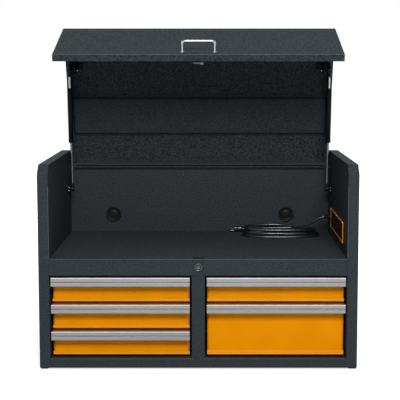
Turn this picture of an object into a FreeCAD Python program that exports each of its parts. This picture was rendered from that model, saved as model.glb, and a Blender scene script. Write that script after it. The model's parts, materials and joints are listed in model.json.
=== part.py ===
import FreeCAD
import Part
import Sketcher
import math
import os
import re

# Top tool chest with a lift-up lid, five drawers and a powered till.
# Millimetres. X runs to the right, Y to the back and Z up.
# Each formula below names cells of the sheet. In the chest's own drawing
# Y is zero on the front faces of its side walls and Z is zero on the floor.

SIZES = {
    # Chest as a whole
    "width": 1041, "depth": 533, "wall_height": 673, "wall_chamfer": 30,
    "wall_thickness": 35, "sheet": 1.2, "overrun": 2,
    # Rubber feet
    "foot_height": 4, "foot_width": 24, "foot_length": 60, "foot_inset": 3,
    # Front frame
    "bottom_rail_height": 30.8, "drawer_bay_height": 276.2, "top_rail_height": 55,
    "rail_depth": 36, "divider_width": 43,
    # Back panel
    "back_inset": 13, "back_drop": 67, "back_lip": 22, "pan_flange": 20, "till_flange": 14,
    # Cable grommets in the back panel
    "grommet_inset": 159.9, "grommet_rise": 65, "grommet_flange_radius": 28,
    "grommet_hole_radius": 23.5, "grommet_fit": 0.2, "grommet_proud": 2.5,
    "grommet_length": 9, "grommet_cap_radius": 19, "grommet_groove": 1.2,
    # Piano hinge of the lid
    "hinge_setback": 6, "hinge_rise": 13, "hinge_end_gap": 8,
    "knuckle_radius": 4, "knuckle_length": 12.7, "knuckle_gap": 0.3, "pin_radius": 2, "pin_fit": 0.05,
    "leaf_offset": 3.8, "leaf_thickness": 1.5, "leaf_height": 28, "leaf_gap": 0.6,
    # Lid, drawn closed and turned open about its hinge
    "lid_open": 70, "lid_side_gap": 1.65, "lid_front_gap": 2.5, "lid_lip": 24,
    "lid_flange_start": 5, "lid_side_flange": 30, "lid_return": 12,
    "stiffener_start": 107, "stiffener_width": 145, "stiffener_rise": 12,
    "stiffener_slope": 6, "stiffener_brim": 10, "stiffener_end_gap": 3,
    # Wire pull on the lid
    "pull_span": 108, "pull_wire_radius": 4, "pull_reach": 40, "pull_bend": 12,
    "pull_rise": 21, "pull_collar_radius": 6.5, "pull_collar": 2.5,
    "pull_screw_radius": 2.4, "pull_screw_fit": 0.1, "pull_screw_length": 18,
    "pull_head_radius": 6.5, "pull_head": 3,
    # Gas struts
    "strut_inset": 15.5, "strut_reach": 375.4, "strut_drop": 50.4,
    "strut_foot_inset": 84, "strut_foot_rise": 68, "strut_case_radius": 9,
    "strut_case_length": 248, "strut_neck": 16, "strut_neck_radius": 5,
    "strut_rod_radius": 4, "strut_rod_fit": 0.1, "strut_guide": 100,
    "strut_eye_radius": 8, "strut_eye_length": 12, "strut_cap": 4,
    "stud_radius": 4, "stud_fit": 0.05, "stud_gap": 0.3, "stud_end": 1.5,
    "wall_plate_radius": 15, "wall_plate": 3,
    "bracket_plate": 2, "bracket_length": 28, "bracket_base": 22, "bracket_offset": 18,
    "bracket_tail": 6, "stud_nut_radius": 7, "stud_nut": 5, "spacer_radius": 6,
    # Lock in the top rail
    "lock_rise": 28.8, "bezel_radius": 12.5, "bezel_proud": 4, "barrel_radius": 9.5,
    "barrel_fit": 0.2, "plug_radius": 6.5, "plug_fit": 0.06, "plug_proud": 0.6,
    "key_slot_width": 2, "key_slot_height": 8, "key_slot_depth": 3,
    "cam_thickness": 2.5, "cam_hub_radius": 7.5, "cam_arm_width": 6,
    "cam_catch": 1.5, "cam_hook": 3.5, "cam_hook_reach": 13, "cam_stem_radius": 3.5,
    "cam_pin_circle": 9, "cam_pin_radius": 1.5, "cam_pin_length": 4.5, "cam_shift": 0.35,
    "cam_pin_edge": 1.2, "cam_bar_gap": 0.5,
    # Lock bar inside the divider
    "bar_width": 14, "bar_thickness": 3, "bar_head_edge": 4.5, "bar_foot_rise": 25.2,
    "bar_gap": 0.5, "finger_width": 4, "finger_height": 12,
    # Strike on the lid
    "strike_width": 36, "strike_thickness": 2, "strike_flange": 12, "strike_reach": 12.2,
    "strike_gap": 1, "ledge_near": 6, "ledge_far": 16, "ledge_depth": 3.6,
    "ledge_thickness": 1.5, "slot_near": 8.5, "slot_far": 3.9, "slot_side_gap": 2,
    # Drawers
    "drawer_gap": 7, "drawer_top_gap": 3.4, "drawer_low_gap": 9.2, "face_gap": 4,
    "face_setback": 22, "face_depth": 14, "face_bend": 9, "face_return": 16, "box_sheet": 1, "box_drop": 10,
    "box_lift": 5, "box_back_gap": 29, "box_hem": 6,
    # Drawer handles
    "handle_reach": 34, "handle_height": 30, "handle_plate": 2.4, "handle_foot": 20,
    "handle_curl": 7, "handle_curl_rise": 5, "handle_groove": 1.3, "handle_over": 0.5,
    # Drawer slides
    "slide_back_gap": 32, "slide_start": 2, "slide_width": 12.7, "slide_height": 35,
    "slide_sheet": 1.2, "outer_flange": 9, "mid_near": 1.8, "mid_web": 4.6,
    "mid_drop": 1.7, "inner_near": 6.4, "inner_drop": 3.6,
    # Power strip let into the right wall
    "strip_back_gap": 103, "strip_length": 318, "strip_rise": 31, "strip_height": 72,
    "strip_trim": 6, "strip_proud": 3, "strip_face_drop": 1.5, "strip_wall_gap": 4.6,
    "strip_margin": 4, "strip_tail": 26, "outlet_count": 5, "outlet_length": 40,
    "outlet_height": 34, "outlet_proud": 1, "blade_slot_width": 2, "blade_slot_height": 8,
    "blade_slot_spread": 12.7, "blade_slot_depth": 0.8,
    # Strain relief and power cord
    "relief_rise": 68, "relief_step": 10, "relief_radius": 8, "relief_tip_radius": 5.6,
    "relief_reach": 22.5, "cord_radius": 4.1,
    "coil_left": 154, "coil_right": 442, "coil_front": 377, "coil_back": 13,
    "coil_inner_back": 26, "coil_climb": 11.6, "coil_turns": 3, "coil_front_step": 8,
    "coil_back_step": 5, "coil_end_step": 8, "coil_end": 8.2,
    "plug_left": 129, "plug_length": 30, "plug_depth": 24,
    "plug_height": 22, "plug_boot": 24, "plug_boot_radius": 6.5, "prong_length": 16,
    "prong_width": 6.4, "prong_thickness": 1.5, "prong_spread": 12.7,
    "boot_lip": 0.4,
}

doc = FreeCAD.newDocument("tool_chest")
sheet = doc.addObject("Spreadsheet::Sheet", "sizes")
for row, (alias, number) in enumerate(SIZES.items(), 1):
    sheet.set(f"A{row}", alias)
    sheet.set(f"B{row}", str(number))
    sheet.setAlias(f"B{row}", alias)
doc.recompute()

# Places that several pieces share, as formulas of the sheet's cells
INNER = "(width/2 - wall_thickness)"
RAIL_LOW = "(foot_height + bottom_rail_height)"
RAIL_HIGH = f"({RAIL_LOW} + drawer_bay_height)"
FLOOR = f"({RAIL_HIGH} + top_rail_height)"
BACK = "(depth - back_inset)"
BACK_TOP = "(wall_height - back_drop)"
HINGE_Y = "(depth - hinge_setback)"
HINGE_Z = f"({BACK_TOP} + hinge_rise)"
LID_TOP = f"(wall_height - {HINGE_Z})"
LID_SHOULDER = f"({LID_TOP} - wall_chamfer)"
LID_LOW = f"({FLOOR} + lid_front_gap - {HINGE_Z})"
LID_HALF = f"({INNER} - lid_side_gap)"
LID_BACK = "(leaf_offset + sheet)"
FACE_BACK = "(face_setback + face_depth)"
FACE_HEIGHT = "((drawer_bay_height - drawer_top_gap - drawer_low_gap - 2*face_gap)/3)"
DRAWER_PITCH = f"({FACE_HEIGHT} + face_gap)"
KNUCKLE_PAIRS = f"floor(({LID_HALF} - hinge_end_gap)/knuckle_length)"
HINGE_HALF = f"({KNUCKLE_PAIRS}*knuckle_length)"
HANDLE_FRONT = "(face_setback - handle_reach)"
LID_REAR = f"({HINGE_Y} + {LID_BACK}*cos(lid_open) + {LID_TOP}*sin(lid_open))"
CENTRE = f"(({HANDLE_FRONT} + {LID_REAR})/2)"
LOCK_Z = f"({RAIL_HIGH} + lock_rise)"
STRIKE_BACK = "(lid_lip + strike_thickness)"
CAM_FRONT = f"({STRIKE_BACK} + strike_gap)"
CAM_BACK = f"({CAM_FRONT} + cam_thickness)"
BAR_FRONT = f"({CAM_BACK} + cam_bar_gap)"
STRIP_LOW = f"({FLOOR} + strip_rise)"
STRIP_HIGH = f"({STRIP_LOW} + strip_height)"
STRIP_BACK = "(depth - strip_back_gap)"
STRIP_FRONT = f"({STRIP_BACK} - strip_length)"
RELIEF_Y = f"({STRIP_BACK} + relief_step)"
RELIEF_Z = f"({FLOOR} + relief_rise)"
STRUT_X = f"({INNER} - strut_inset)"
STRUT_FOOT_Z = f"({STRIP_HIGH} + strut_foot_rise)"
STRUT_Z = f"({LID_TOP} - strut_drop)"
STRUT_TOP_Y = f"({HINGE_Y} - strut_reach*cos(lid_open) + {STRUT_Z}*sin(lid_open))"
STRUT_TOP_Z = f"({HINGE_Z} + strut_reach*sin(lid_open) + {STRUT_Z}*cos(lid_open))"
STRUT_RUN = f"(depth - strut_foot_inset - {STRUT_TOP_Y})"
STRUT_FALL = f"({STRUT_TOP_Z} - {STRUT_FOOT_Z})"
STRUT_LENGTH = f"sqrt({STRUT_RUN}^2 + {STRUT_FALL}^2)"
PLAIN = "0"


def bound(formula):
    """Point every size named in a formula at its cell in the sheet."""
    def cell(word):
        return f"sizes.{word[0]}" if word[0] in SIZES else word[0]
    return re.sub(r"[a-z][a-z_]*", cell, formula)


def number(formula):
    """Work out a formula's present value."""
    result = sheet.evalExpression(bound(formula))
    return float(getattr(result, "Value", result))


def chest_place(item):
    """Set an object in the chest, with the origin under the middle of its box."""
    item.setExpression("Placement.Base.y", bound(f"-{CENTRE}"))


def lid_place(item):
    """Set an object drawn from the hinge's axis, on the closed lid, into the open lid."""
    item.Placement = FreeCAD.Placement(FreeCAD.Vector(), FreeCAD.Rotation(FreeCAD.Vector(-1, 0, 0), 1))
    item.setExpression("Placement.Rotation.Angle", bound("lid_open"))
    item.setExpression("Placement.Base.y", bound(f"{HINGE_Y} - {CENTRE}"))
    item.setExpression("Placement.Base.z", bound(HINGE_Z))


def strut_place(item):
    """Set an object drawn down from the strut's upper pivot along the raised strut."""
    item.Placement = FreeCAD.Placement(FreeCAD.Vector(), FreeCAD.Rotation(FreeCAD.Vector(1, 0, 0), 1))
    item.setExpression("Placement.Rotation.Angle", bound(f"atan2({STRUT_RUN}; {STRUT_FALL})"))
    item.setExpression("Placement.Base.y", bound(f"{STRUT_TOP_Y} - {CENTRE}"))
    item.setExpression("Placement.Base.z", bound(STRUT_TOP_Z))


PIECES = []
QUARTER = 90
TURNS = {
    "X": FreeCAD.Rotation(FreeCAD.Vector(0, 1, 0), QUARTER),
    "Y": FreeCAD.Rotation(FreeCAD.Vector(1, 0, 0), -QUARTER),
    "Z": FreeCAD.Rotation(),
}


class Piece:
    """One separate piece: a body whose features take their sizes from the sheet."""

    def __init__(self, label, place=chest_place):
        self.body = doc.addObject("PartDesign::Body", label)
        self.body.Label = label
        place(self.body)
        PIECES.append(self.body)

    def feature(self, kind, cut, place, sizes):
        """Add a primitive, or cut one away, with its place and sizes as formulas."""
        added = self.body.newObject(f"PartDesign::{'Subtractive' if cut else 'Additive'}{kind}", kind)
        for key, formula in list(sizes.items()):
            added.setExpression(key, bound(formula))
        for axis, formula in zip("xyz", place):
            added.setExpression(f"Placement.Base.{axis}", bound(formula))
        return added

    def block(self, x, y, z, cut=False):
        """A box between two planes along each axis."""
        sides = zip(("Length", "Width", "Height"), (x, y, z))
        sizes = {side: f"{high} - ({low})" for side, (low, high) in sides}
        return self.feature("Box", cut, (x[0], y[0], z[0]), sizes)

    def rod(self, axis, centre, span, radius, cut=False, tip_radius=None):
        """A round bar along an axis. A tip radius makes it taper."""
        place = list(centre)
        place.insert("XYZ".index(axis), span[0])
        sizes = {"Height": f"{span[1]} - ({span[0]})"}
        if tip_radius is None:
            sizes["Radius"] = radius
        else:
            sizes.update({"Radius1": radius, "Radius2": tip_radius})
        added = self.feature("Cylinder" if tip_radius is None else "Cone", cut, place, sizes)
        added.Placement.Rotation = TURNS[axis]
        return added

    def bend(self, centre, bend_radius, wire_radius, quarters):
        """A quarter ring of wire, lying flat, begun a number of quarter turns round."""
        sizes = {"Radius1": bend_radius, "Radius2": wire_radius}
        added = self.feature("Torus", False, centre, sizes)
        added.Angle3 = QUARTER
        added.Placement.Rotation = FreeCAD.Rotation(FreeCAD.Vector(0, 0, 1), quarters*QUARTER)
        return added

    def outline(self, plane, points, span, cut=False):
        """A straight-sided outline on an origin plane, drawn out between two planes across it."""
        sketch = self.body.newObject("Sketcher::SketchObject", "Outline")
        origin = self.body.Origin.OriginFeatures
        sketch.AttachmentSupport = (next(item for item in origin if item.Role == f"{plane}_Plane"), [""])
        sketch.MapMode = "FlatFace"
        corners = [FreeCAD.Vector(number(across), number(up)) for across, up in points]
        for index, corner in enumerate(corners):
            sketch.addGeometry(Part.LineSegment(corner, corners[(index + 1) % len(corners)]))
        for index in range(len(corners)):
            following = (index + 1) % len(corners)
            sketch.addConstraint(Sketcher.Constraint("Coincident", index, 2, following, 1))
        for index, formulas in enumerate(points):
            for kind, formula in zip(("DistanceX", "DistanceY"), formulas):
                rule = Sketcher.Constraint(kind, -1, 1, index, 1, number(formula))
                place = sketch.addConstraint(rule)
                sketch.setExpression(f"Constraints[{place}]", bound(formula))
        low, high = span
        near, far = (f"-({high})", f"-({low})") if plane == "XZ" else (low, high)
        sketch.setExpression("AttachmentOffset.Base.z", bound(far if cut else near))
        sort = "Pocket" if cut else "Pad"
        added = self.body.newObject(f"PartDesign::{sort}", sort)
        added.Profile = sketch
        added.setExpression("Length", bound(f"{high} - ({low})"))
        return added

    def repeat(self, features, step, count):
        """Repeat features along X, step by step."""
        row = self.body.newObject("PartDesign::LinearPattern", "Row")
        origin = self.body.Origin.OriginFeatures
        row.Originals = features
        row.Direction = (next(item for item in origin if item.Role == "X_Axis"), [""])
        row.setExpression("Length", bound(f"({step})*({count} - 1)"))
        row.setExpression("Occurrences", bound(count))
        self.body.Tip = row
        return row


def both(distance):
    """The same distance to the left and to the right of the middle."""
    return [(-1, f"-({distance})"), (1, f"({distance})")]


def span(side, wall, near, far):
    """Two planes measured inwards from a wall that faces the given side."""
    if side > 0:
        return f"{wall} + {near}", f"{wall} + {far}"
    return f"{wall} - ({far})", f"{wall} - ({near})"


def wall_outline(inset):
    """Outline of a side wall seen from the side, drawn in by an inset."""
    corner = f"{inset}*tan(22.5)"
    return [
        (inset, f"foot_height + {inset}"),
        (f"depth - {inset}", f"foot_height + {inset}"),
        (f"depth - {inset}", f"wall_height - {inset}"),
        (f"wall_chamfer + {corner}", f"wall_height - {inset}"),
        (inset, f"wall_height - wall_chamfer - {corner}"),
    ]


def side_shell(label, side):
    """Outer tray of a side wall, with its front, top and back edges folded in."""
    shell = Piece(label)
    outer = ("-width/2", f"-{INNER}") if side < 0 else (INNER, "width/2")
    inner = ("-width/2 + sheet", f"-{INNER}") if side < 0 else (INNER, "width/2 - sheet")
    shell.outline("YZ", wall_outline(PLAIN), outer)
    shell.outline("YZ", wall_outline("sheet"), inner, cut=True)


def side_liner(label, side):
    """Inner skin of a side wall, flush in its tray. The right one is cut out for the power strip."""
    liner = Piece(label)
    if side < 0:
        liner.outline("YZ", wall_outline("sheet"), (f"-{INNER} - sheet", f"-{INNER}"))
        return
    liner.outline("YZ", wall_outline("sheet"), (INNER, f"{INNER} + sheet"))
    through = (f"{INNER} - overrun", f"{INNER} + sheet + overrun")
    along = (f"{STRIP_FRONT} + strip_trim", f"{STRIP_BACK} - strip_trim")
    up = (f"{STRIP_LOW} + strip_trim", f"{STRIP_HIGH} - strip_trim")
    liner.block(through, along, up, cut=True)
    liner.rod("X", (RELIEF_Y, RELIEF_Z), through, "relief_radius", cut=True)


def back_panel():
    """Back sheet with a box-folded top edge that carries the hinge, and two cable holes."""
    panel = Piece("back_panel")
    lip = f"({HINGE_Y} + leaf_offset - leaf_thickness)"
    panel.outline("YZ", [
        (BACK, "foot_height"),
        (f"{BACK} + sheet", "foot_height"),
        (f"{BACK} + sheet", f"{BACK_TOP} - sheet"),
        (f"{lip} - sheet", f"{BACK_TOP} - sheet"),
        (f"{lip} - sheet", f"{BACK_TOP} - back_lip"),
        (lip, f"{BACK_TOP} - back_lip"),
        (lip, BACK_TOP),
        (BACK, BACK_TOP),
    ], (f"-{INNER}", INNER))
    for _, middle in both(f"{INNER} - grommet_inset"):
        place = (middle, f"{FLOOR} + grommet_rise")
        through = (f"{BACK} - overrun", f"{BACK} + sheet + overrun")
        panel.rod("Y", place, through, "grommet_hole_radius", cut=True)


def cable_grommets():
    """Two capped grommets that snap into the back panel."""
    grommets = Piece("cable_grommets")
    front = f"({BACK} - grommet_proud)"
    for _, middle in both(f"{INNER} - grommet_inset"):
        place = (middle, f"{FLOOR} + grommet_rise")
        grommets.rod("Y", place, (front, BACK), "grommet_flange_radius")
        neck = "grommet_hole_radius - grommet_fit"
        grommets.rod("Y", place, (BACK, f"{front} + grommet_length"), neck)
        groove = (f"{front} - overrun", f"{front} + grommet_groove")
        ring = grommets.rod("Y", place, groove, "grommet_cap_radius + grommet_groove", cut=True)
        ring.Label = f"{ring.Name}_groove"
        grommets.rod("Y", place, (front, f"{front} + grommet_groove"), "grommet_cap_radius")


def base_sheets():
    """Bottom pan and the till's floor, each with folded edges."""
    pan = Piece("bottom_pan")
    low = "(foot_height + sheet)"
    pan.block((f"-{INNER}", INNER), ("sheet", BACK), (low, f"{low} + sheet"))
    for side, wall in both(INNER):
        flange = (f"{low} + sheet", f"{low} + pan_flange")
        pan.block(span(-side, wall, PLAIN, "sheet"), ("rail_depth", BACK), flange)
    till = Piece("till_floor")
    till.block((f"-{INNER}", INNER), ("rail_depth", BACK), (f"{FLOOR} - sheet", FLOOR))
    for side, wall in both(INNER):
        drop = (f"{FLOOR} - till_flange", f"{FLOOR} - sheet")
        till.block(span(-side, wall, PLAIN, "sheet"), ("rail_depth", BACK), drop)


def front_rails():
    """Bottom and top rails: channels open to the back."""
    bottom = Piece("front_bottom_rail")
    width = (f"-{INNER}", INNER)
    bottom.block(width, (PLAIN, "rail_depth"), ("foot_height", RAIL_LOW))
    inside = ("sheet", "rail_depth + overrun")
    bottom.block(width, inside, ("foot_height + sheet", f"{RAIL_LOW} - sheet"), cut=True)
    top = Piece("front_top_rail")
    top.block(width, (PLAIN, "rail_depth"), (RAIL_HIGH, FLOOR))
    top.block(width, inside, (f"{RAIL_HIGH} + sheet", f"{FLOOR} - sheet"), cut=True)
    lock = (PLAIN, LOCK_Z)
    top.rod("Y", lock, ("-overrun", "sheet + overrun"), "barrel_radius + barrel_fit", cut=True)
    slot = both("strike_width/2 + slot_side_gap")
    slot_x = (slot[0][1], slot[1][1])
    slot_z = (f"{FLOOR} - sheet - overrun", f"{FLOOR} + overrun")
    slot_y = ("lid_lip - slot_near", f"{STRIKE_BACK} + ledge_depth + slot_far")
    top.block(slot_x, slot_y, slot_z, cut=True)
    notch = both("bar_width/2 + bar_gap")
    notch_y = (f"{BAR_FRONT} - bar_gap", "rail_depth + overrun")
    notch_z = (f"{RAIL_HIGH} - overrun", f"{RAIL_HIGH} + sheet + overrun")
    top.block((notch[0][1], notch[1][1]), notch_y, notch_z, cut=True)


def center_divider():
    """Channel between the two banks of drawers. Its webs carry their inner slides."""
    divider = Piece("center_divider")
    divider.block(("-divider_width/2", "divider_width/2"), (PLAIN, BACK), (RAIL_LOW, RAIL_HIGH))
    inside = ("-divider_width/2 + sheet", "divider_width/2 - sheet")
    tall = (f"{RAIL_LOW} - overrun", f"{RAIL_HIGH} + overrun")
    divider.block(inside, ("sheet", f"{BACK} + overrun"), tall, cut=True)


def rubber_feet():
    """Four pads under the corners of the side walls."""
    feet = Piece("rubber_feet")
    for side, wall in both("width/2 - foot_inset"):
        across = span(-side, wall, PLAIN, "foot_width")
        for end in ("foot_inset", "(depth - foot_inset - foot_length)"):
            feet.block(across, (end, f"{end} + foot_length"), (PLAIN, "foot_height"))


PIN_SIDE = "(-cam_pin_circle*cos(45))"
PIN_LOW = f"({LOCK_Z} - cam_pin_circle*sin(45))"
ARM_REACH = f"({FLOOR} - strike_reach + ledge_thickness + cam_catch + cam_hook - {LOCK_Z})"


def lock():
    """Lock in the top rail: housing, turning plug and hooked cam, and the bar that the cam lifts."""
    centre = (PLAIN, LOCK_Z)
    housing = Piece("lock_housing")
    housing.rod("Y", centre, ("-bezel_proud", PLAIN), "bezel_radius")
    housing.rod("Y", centre, (PLAIN, STRIKE_BACK), "barrel_radius")
    bore = ("-bezel_proud - overrun", f"{CAM_FRONT} + overrun")
    housing.rod("Y", centre, bore, "plug_radius + plug_fit", cut=True)
    plug = Piece("lock_plug")
    face = "(-bezel_proud - plug_proud)"
    plug.rod("Y", centre, (face, CAM_FRONT), "plug_radius")
    plug.rod("Y", centre, (CAM_FRONT, CAM_BACK), "cam_stem_radius")
    slot_x = ("-key_slot_height/2", "key_slot_height/2")
    slot_z = (f"{LOCK_Z} - key_slot_width/2", f"{LOCK_Z} + key_slot_width/2")
    plug.block(slot_x, (f"{face} - overrun", f"{face} + key_slot_depth"), slot_z, cut=True)
    cam = Piece("lock_cam")
    thick = (CAM_FRONT, CAM_BACK)
    cam.rod("Y", centre, thick, "cam_hub_radius")
    arm_z = (f"{LOCK_Z} - cam_arm_width/2", f"{LOCK_Z} + cam_arm_width/2")
    cam.block((f"-{ARM_REACH}", PLAIN), thick, arm_z)
    hook_z = (LOCK_Z, f"{LOCK_Z} + cam_hook_reach")
    cam.block((f"-{ARM_REACH}", f"cam_hook - {ARM_REACH}"), thick, hook_z)
    boss = "cam_pin_radius + cam_pin_edge"
    cam.rod("Y", (PIN_SIDE, PIN_LOW), thick, boss)
    cam.rod("Y", (PIN_SIDE, PIN_LOW), (CAM_BACK, f"{CAM_BACK} + cam_pin_length"), "cam_pin_radius")
    cam.rod("Y", centre, (f"{CAM_FRONT} - overrun", f"{CAM_BACK} + overrun"), "cam_stem_radius", cut=True)
    lock_bar()


def lock_bar():
    """Upright bar in the divider, lifted by the cam's pin in its slot, with fingers by the drawers."""
    bar = Piece("lock_bar")
    thick = (BAR_FRONT, f"{BAR_FRONT} + bar_thickness")
    head_low = f"({PIN_LOW} - cam_pin_radius - cam_shift - bar_head_edge)"
    head_high = f"({PIN_LOW} + cam_pin_radius + cam_shift + bar_head_edge)"
    slot_left = "(-cam_pin_circle - cam_pin_radius - cam_shift)"
    slot_right = f"({PIN_SIDE} + cam_pin_radius + cam_shift)"
    bar.block(("-bar_width/2", "bar_width/2"), thick, (f"{RAIL_LOW} + bar_foot_rise", head_low))
    bar.block((f"{slot_left} - bar_head_edge", "bar_width/2"), thick, (head_low, head_high))
    slot_z = (f"{PIN_LOW} - cam_pin_radius - cam_shift", f"{PIN_LOW} + cam_pin_radius + cam_shift")
    slot_y = (f"{BAR_FRONT} - overrun", f"{BAR_FRONT} + bar_thickness + overrun")
    bar.block((slot_left, slot_right), slot_y, slot_z, cut=True)
    for level in range(3):
        middle = f"({RAIL_HIGH} - drawer_top_gap - {FACE_HEIGHT}/2 - {level}*{DRAWER_PITCH})"
        tall = (f"{middle} - finger_height/2", f"{middle} + finger_height/2")
        for side, edge in both("bar_width/2"):
            bar.block(span(side, edge, PLAIN, "finger_width"), thick, tall)


def hinge_leaf(label, place, first_gap, hangs):
    """Hinge leaf: a strip and every other knuckle, bored for the pin. One leaf hangs, the other stands."""
    leaf = Piece(label, place)
    axis_y = HINGE_Y if hangs else PLAIN
    axis_z = HINGE_Z if hangs else PLAIN
    thick = (f"{axis_y} + leaf_offset - leaf_thickness", f"{axis_y} + leaf_offset")
    length = (f"-{HINGE_HALF}", HINGE_HALF)
    strip = (f"{axis_z} - leaf_height", axis_z) if hangs else (PLAIN, "leaf_height")
    leaf.block(length, thick, strip)
    leaf.rod("X", (axis_y, axis_z), length, "knuckle_radius")
    reach = "(knuckle_radius + leaf_gap)"
    gap_start = f"({first_gap}*knuckle_length - {HINGE_HALF})"
    gap_x = (f"{gap_start} - knuckle_gap/2", f"{gap_start} + knuckle_length + knuckle_gap/2")
    gap_y = (f"{axis_y} - {reach}", f"{axis_y} + {reach}")
    gap = leaf.block(gap_x, gap_y, (f"{axis_z} - {reach}", f"{axis_z} + {reach}"), cut=True)
    leaf.repeat([gap], "2*knuckle_length", KNUCKLE_PAIRS)
    bore = (f"-{HINGE_HALF} - overrun", f"{HINGE_HALF} + overrun")
    leaf.rod("X", (axis_y, axis_z), bore, "pin_radius + pin_fit", cut=True)


def lid_hinge():
    """Piano hinge: one leaf on the back panel, one on the lid, and the pin through both."""
    hinge_leaf("hinge_body_leaf", chest_place, 1, True)
    hinge_leaf("hinge_lid_leaf", lid_place, 0, False)
    pin = Piece("hinge_pin")
    pin.rod("X", (HINGE_Y, HINGE_Z), (f"-{HINGE_HALF}", HINGE_HALF), "pin_radius")


def lid_shell():
    """Lid sheet: rear flange, top, chamfer, front and lip in one fold, with flanges at its sides."""
    shell = Piece("lid_shell", lid_place)
    front = f"(-{HINGE_Y})"
    edge = f"({front} + wall_chamfer)"
    bend = "sheet*tan(22.5)"
    shell.outline("YZ", [
        (LID_BACK, "lid_flange_start"),
        (LID_BACK, LID_TOP),
        (edge, LID_TOP),
        (front, LID_SHOULDER),
        (front, LID_LOW),
        (f"{front} + lid_lip", LID_LOW),
        (f"{front} + lid_lip", f"{LID_LOW} + sheet"),
        (f"{front} + sheet", f"{LID_LOW} + sheet"),
        (f"{front} + sheet", f"{LID_SHOULDER} - {bend}"),
        (f"{edge} + {bend}", f"{LID_TOP} - sheet"),
        ("leaf_offset", f"{LID_TOP} - sheet"),
        ("leaf_offset", "lid_flange_start"),
    ], (f"-{LID_HALF}", LID_HALF))
    low = f"({LID_TOP} - lid_side_flange)"
    turn = f"({front} + lid_lip)"
    for side, wall in both(LID_HALF):
        shell.outline("YZ", [
            ("leaf_offset", f"{LID_TOP} - sheet"),
            (f"{edge} + {bend}", f"{LID_TOP} - sheet"),
            (f"{front} + sheet", f"{LID_SHOULDER} - {bend}"),
            (f"{front} + sheet", f"{LID_LOW} + sheet"),
            (turn, f"{LID_LOW} + sheet"),
            (turn, f"{low} - wall_chamfer/2"),
            (f"{turn} + wall_chamfer/2", low),
            ("leaf_offset", low),
        ], span(-side, wall, PLAIN, "sheet"))
        fold = span(-side, wall, "sheet", "sheet + lid_return")
        shell.block(fold, (f"{turn} + wall_chamfer/2", "leaf_offset"), (low, f"{low} + sheet"))
    for _, leg in both("pull_span/2"):
        hole = "pull_screw_radius + pull_screw_fit"
        shell.rod("Y", (leg, PULL_Z), (f"{front} - overrun", f"{front} + sheet + overrun"), hole, cut=True)


PULL_Z = f"({LID_LOW} + pull_rise)"


def lid_stiffener():
    """Hat section across the inside of the lid."""
    hat = Piece("lid_stiffener", lid_place)
    under = f"({LID_TOP} - sheet)"
    crown = f"({under} - stiffener_rise)"
    near = "(-stiffener_start)"
    far = "(-stiffener_start - stiffener_width)"
    width = f"({LID_HALF} - sheet - lid_return - stiffener_end_gap)"
    hat.outline("YZ", [
        (f"{near} + stiffener_brim", under),
        (near, under),
        (f"{near} - stiffener_slope", f"{crown} + sheet"),
        (f"{far} + stiffener_slope", f"{crown} + sheet"),
        (far, under),
        (f"{far} - stiffener_brim", under),
        (f"{far} - stiffener_brim", f"{under} - sheet"),
        (f"{far} - sheet", f"{under} - sheet"),
        (f"{far} + stiffener_slope - sheet", crown),
        (f"{near} - stiffener_slope + sheet", crown),
        (f"{near} + sheet", f"{under} - sheet"),
        (f"{near} + stiffener_brim", f"{under} - sheet"),
    ], (f"-{width}", width))


def lid_pull():
    """Bent wire pull on the lid's front, and the two screws that hold it from inside."""
    front = f"(-{HINGE_Y})"
    bar = f"({front} - pull_reach)"
    pull = Piece("lid_handle", lid_place)
    corner = "(pull_span/2 - pull_bend)"
    for side, leg in both("pull_span/2"):
        pull.rod("Y", (leg, PULL_Z), (f"{bar} + pull_bend", front), "pull_wire_radius")
        pull.rod("Y", (leg, PULL_Z), (f"{front} - pull_collar", front), "pull_collar_radius")
        middle = (f"{side}*{corner}", f"{bar} + pull_bend", PULL_Z)
        pull.bend(middle, "pull_bend", "pull_wire_radius", 3 if side > 0 else 2)
    pull.rod("X", (bar, PULL_Z), (f"-{corner}", corner), "pull_wire_radius")
    for _, leg in both("pull_span/2"):
        thread = (f"{front} - pull_screw_length", f"{front} + overrun")
        pull.rod("Y", (leg, PULL_Z), thread, "pull_screw_radius + pull_screw_fit/2", cut=True)
    screws = Piece("lid_handle_screws", lid_place)
    for _, leg in both("pull_span/2"):
        inside = f"({front} + sheet)"
        screws.rod("Y", (leg, PULL_Z), (inside, f"{inside} + pull_head"), "pull_head_radius")
        shank = (f"{front} - pull_screw_length + overrun", inside)
        screws.rod("Y", (leg, PULL_Z), shank, "pull_screw_radius")


def lid_strike():
    """Plate on the lid's lip that drops through the top rail, with a ledge for the cam's hook."""
    strike = Piece("lid_strike", lid_place)
    rear = f"(-{HINGE_Y} + lid_lip)"
    lip = f"({LID_LOW} + sheet)"
    low = f"({FLOOR} - strike_reach - {HINGE_Z})"
    width = ("-strike_width/2", "strike_width/2")
    strike.block(width, (rear, f"{rear} + strike_thickness"), (low, f"{lip} + strike_thickness"))
    strike.block(width, (f"{rear} - strike_flange", rear), (lip, f"{lip} + strike_thickness"))
    ledge_y = (f"{rear} + strike_thickness", f"{rear} + strike_thickness + ledge_depth")
    strike.block(("ledge_near", "ledge_far"), ledge_y, (low, f"{low} + ledge_thickness"))


STUD_INNER = f"({STRUT_X} - strut_eye_length/2)"
STUD_OUTER = f"({STRUT_X} + strut_eye_length/2)"


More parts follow.
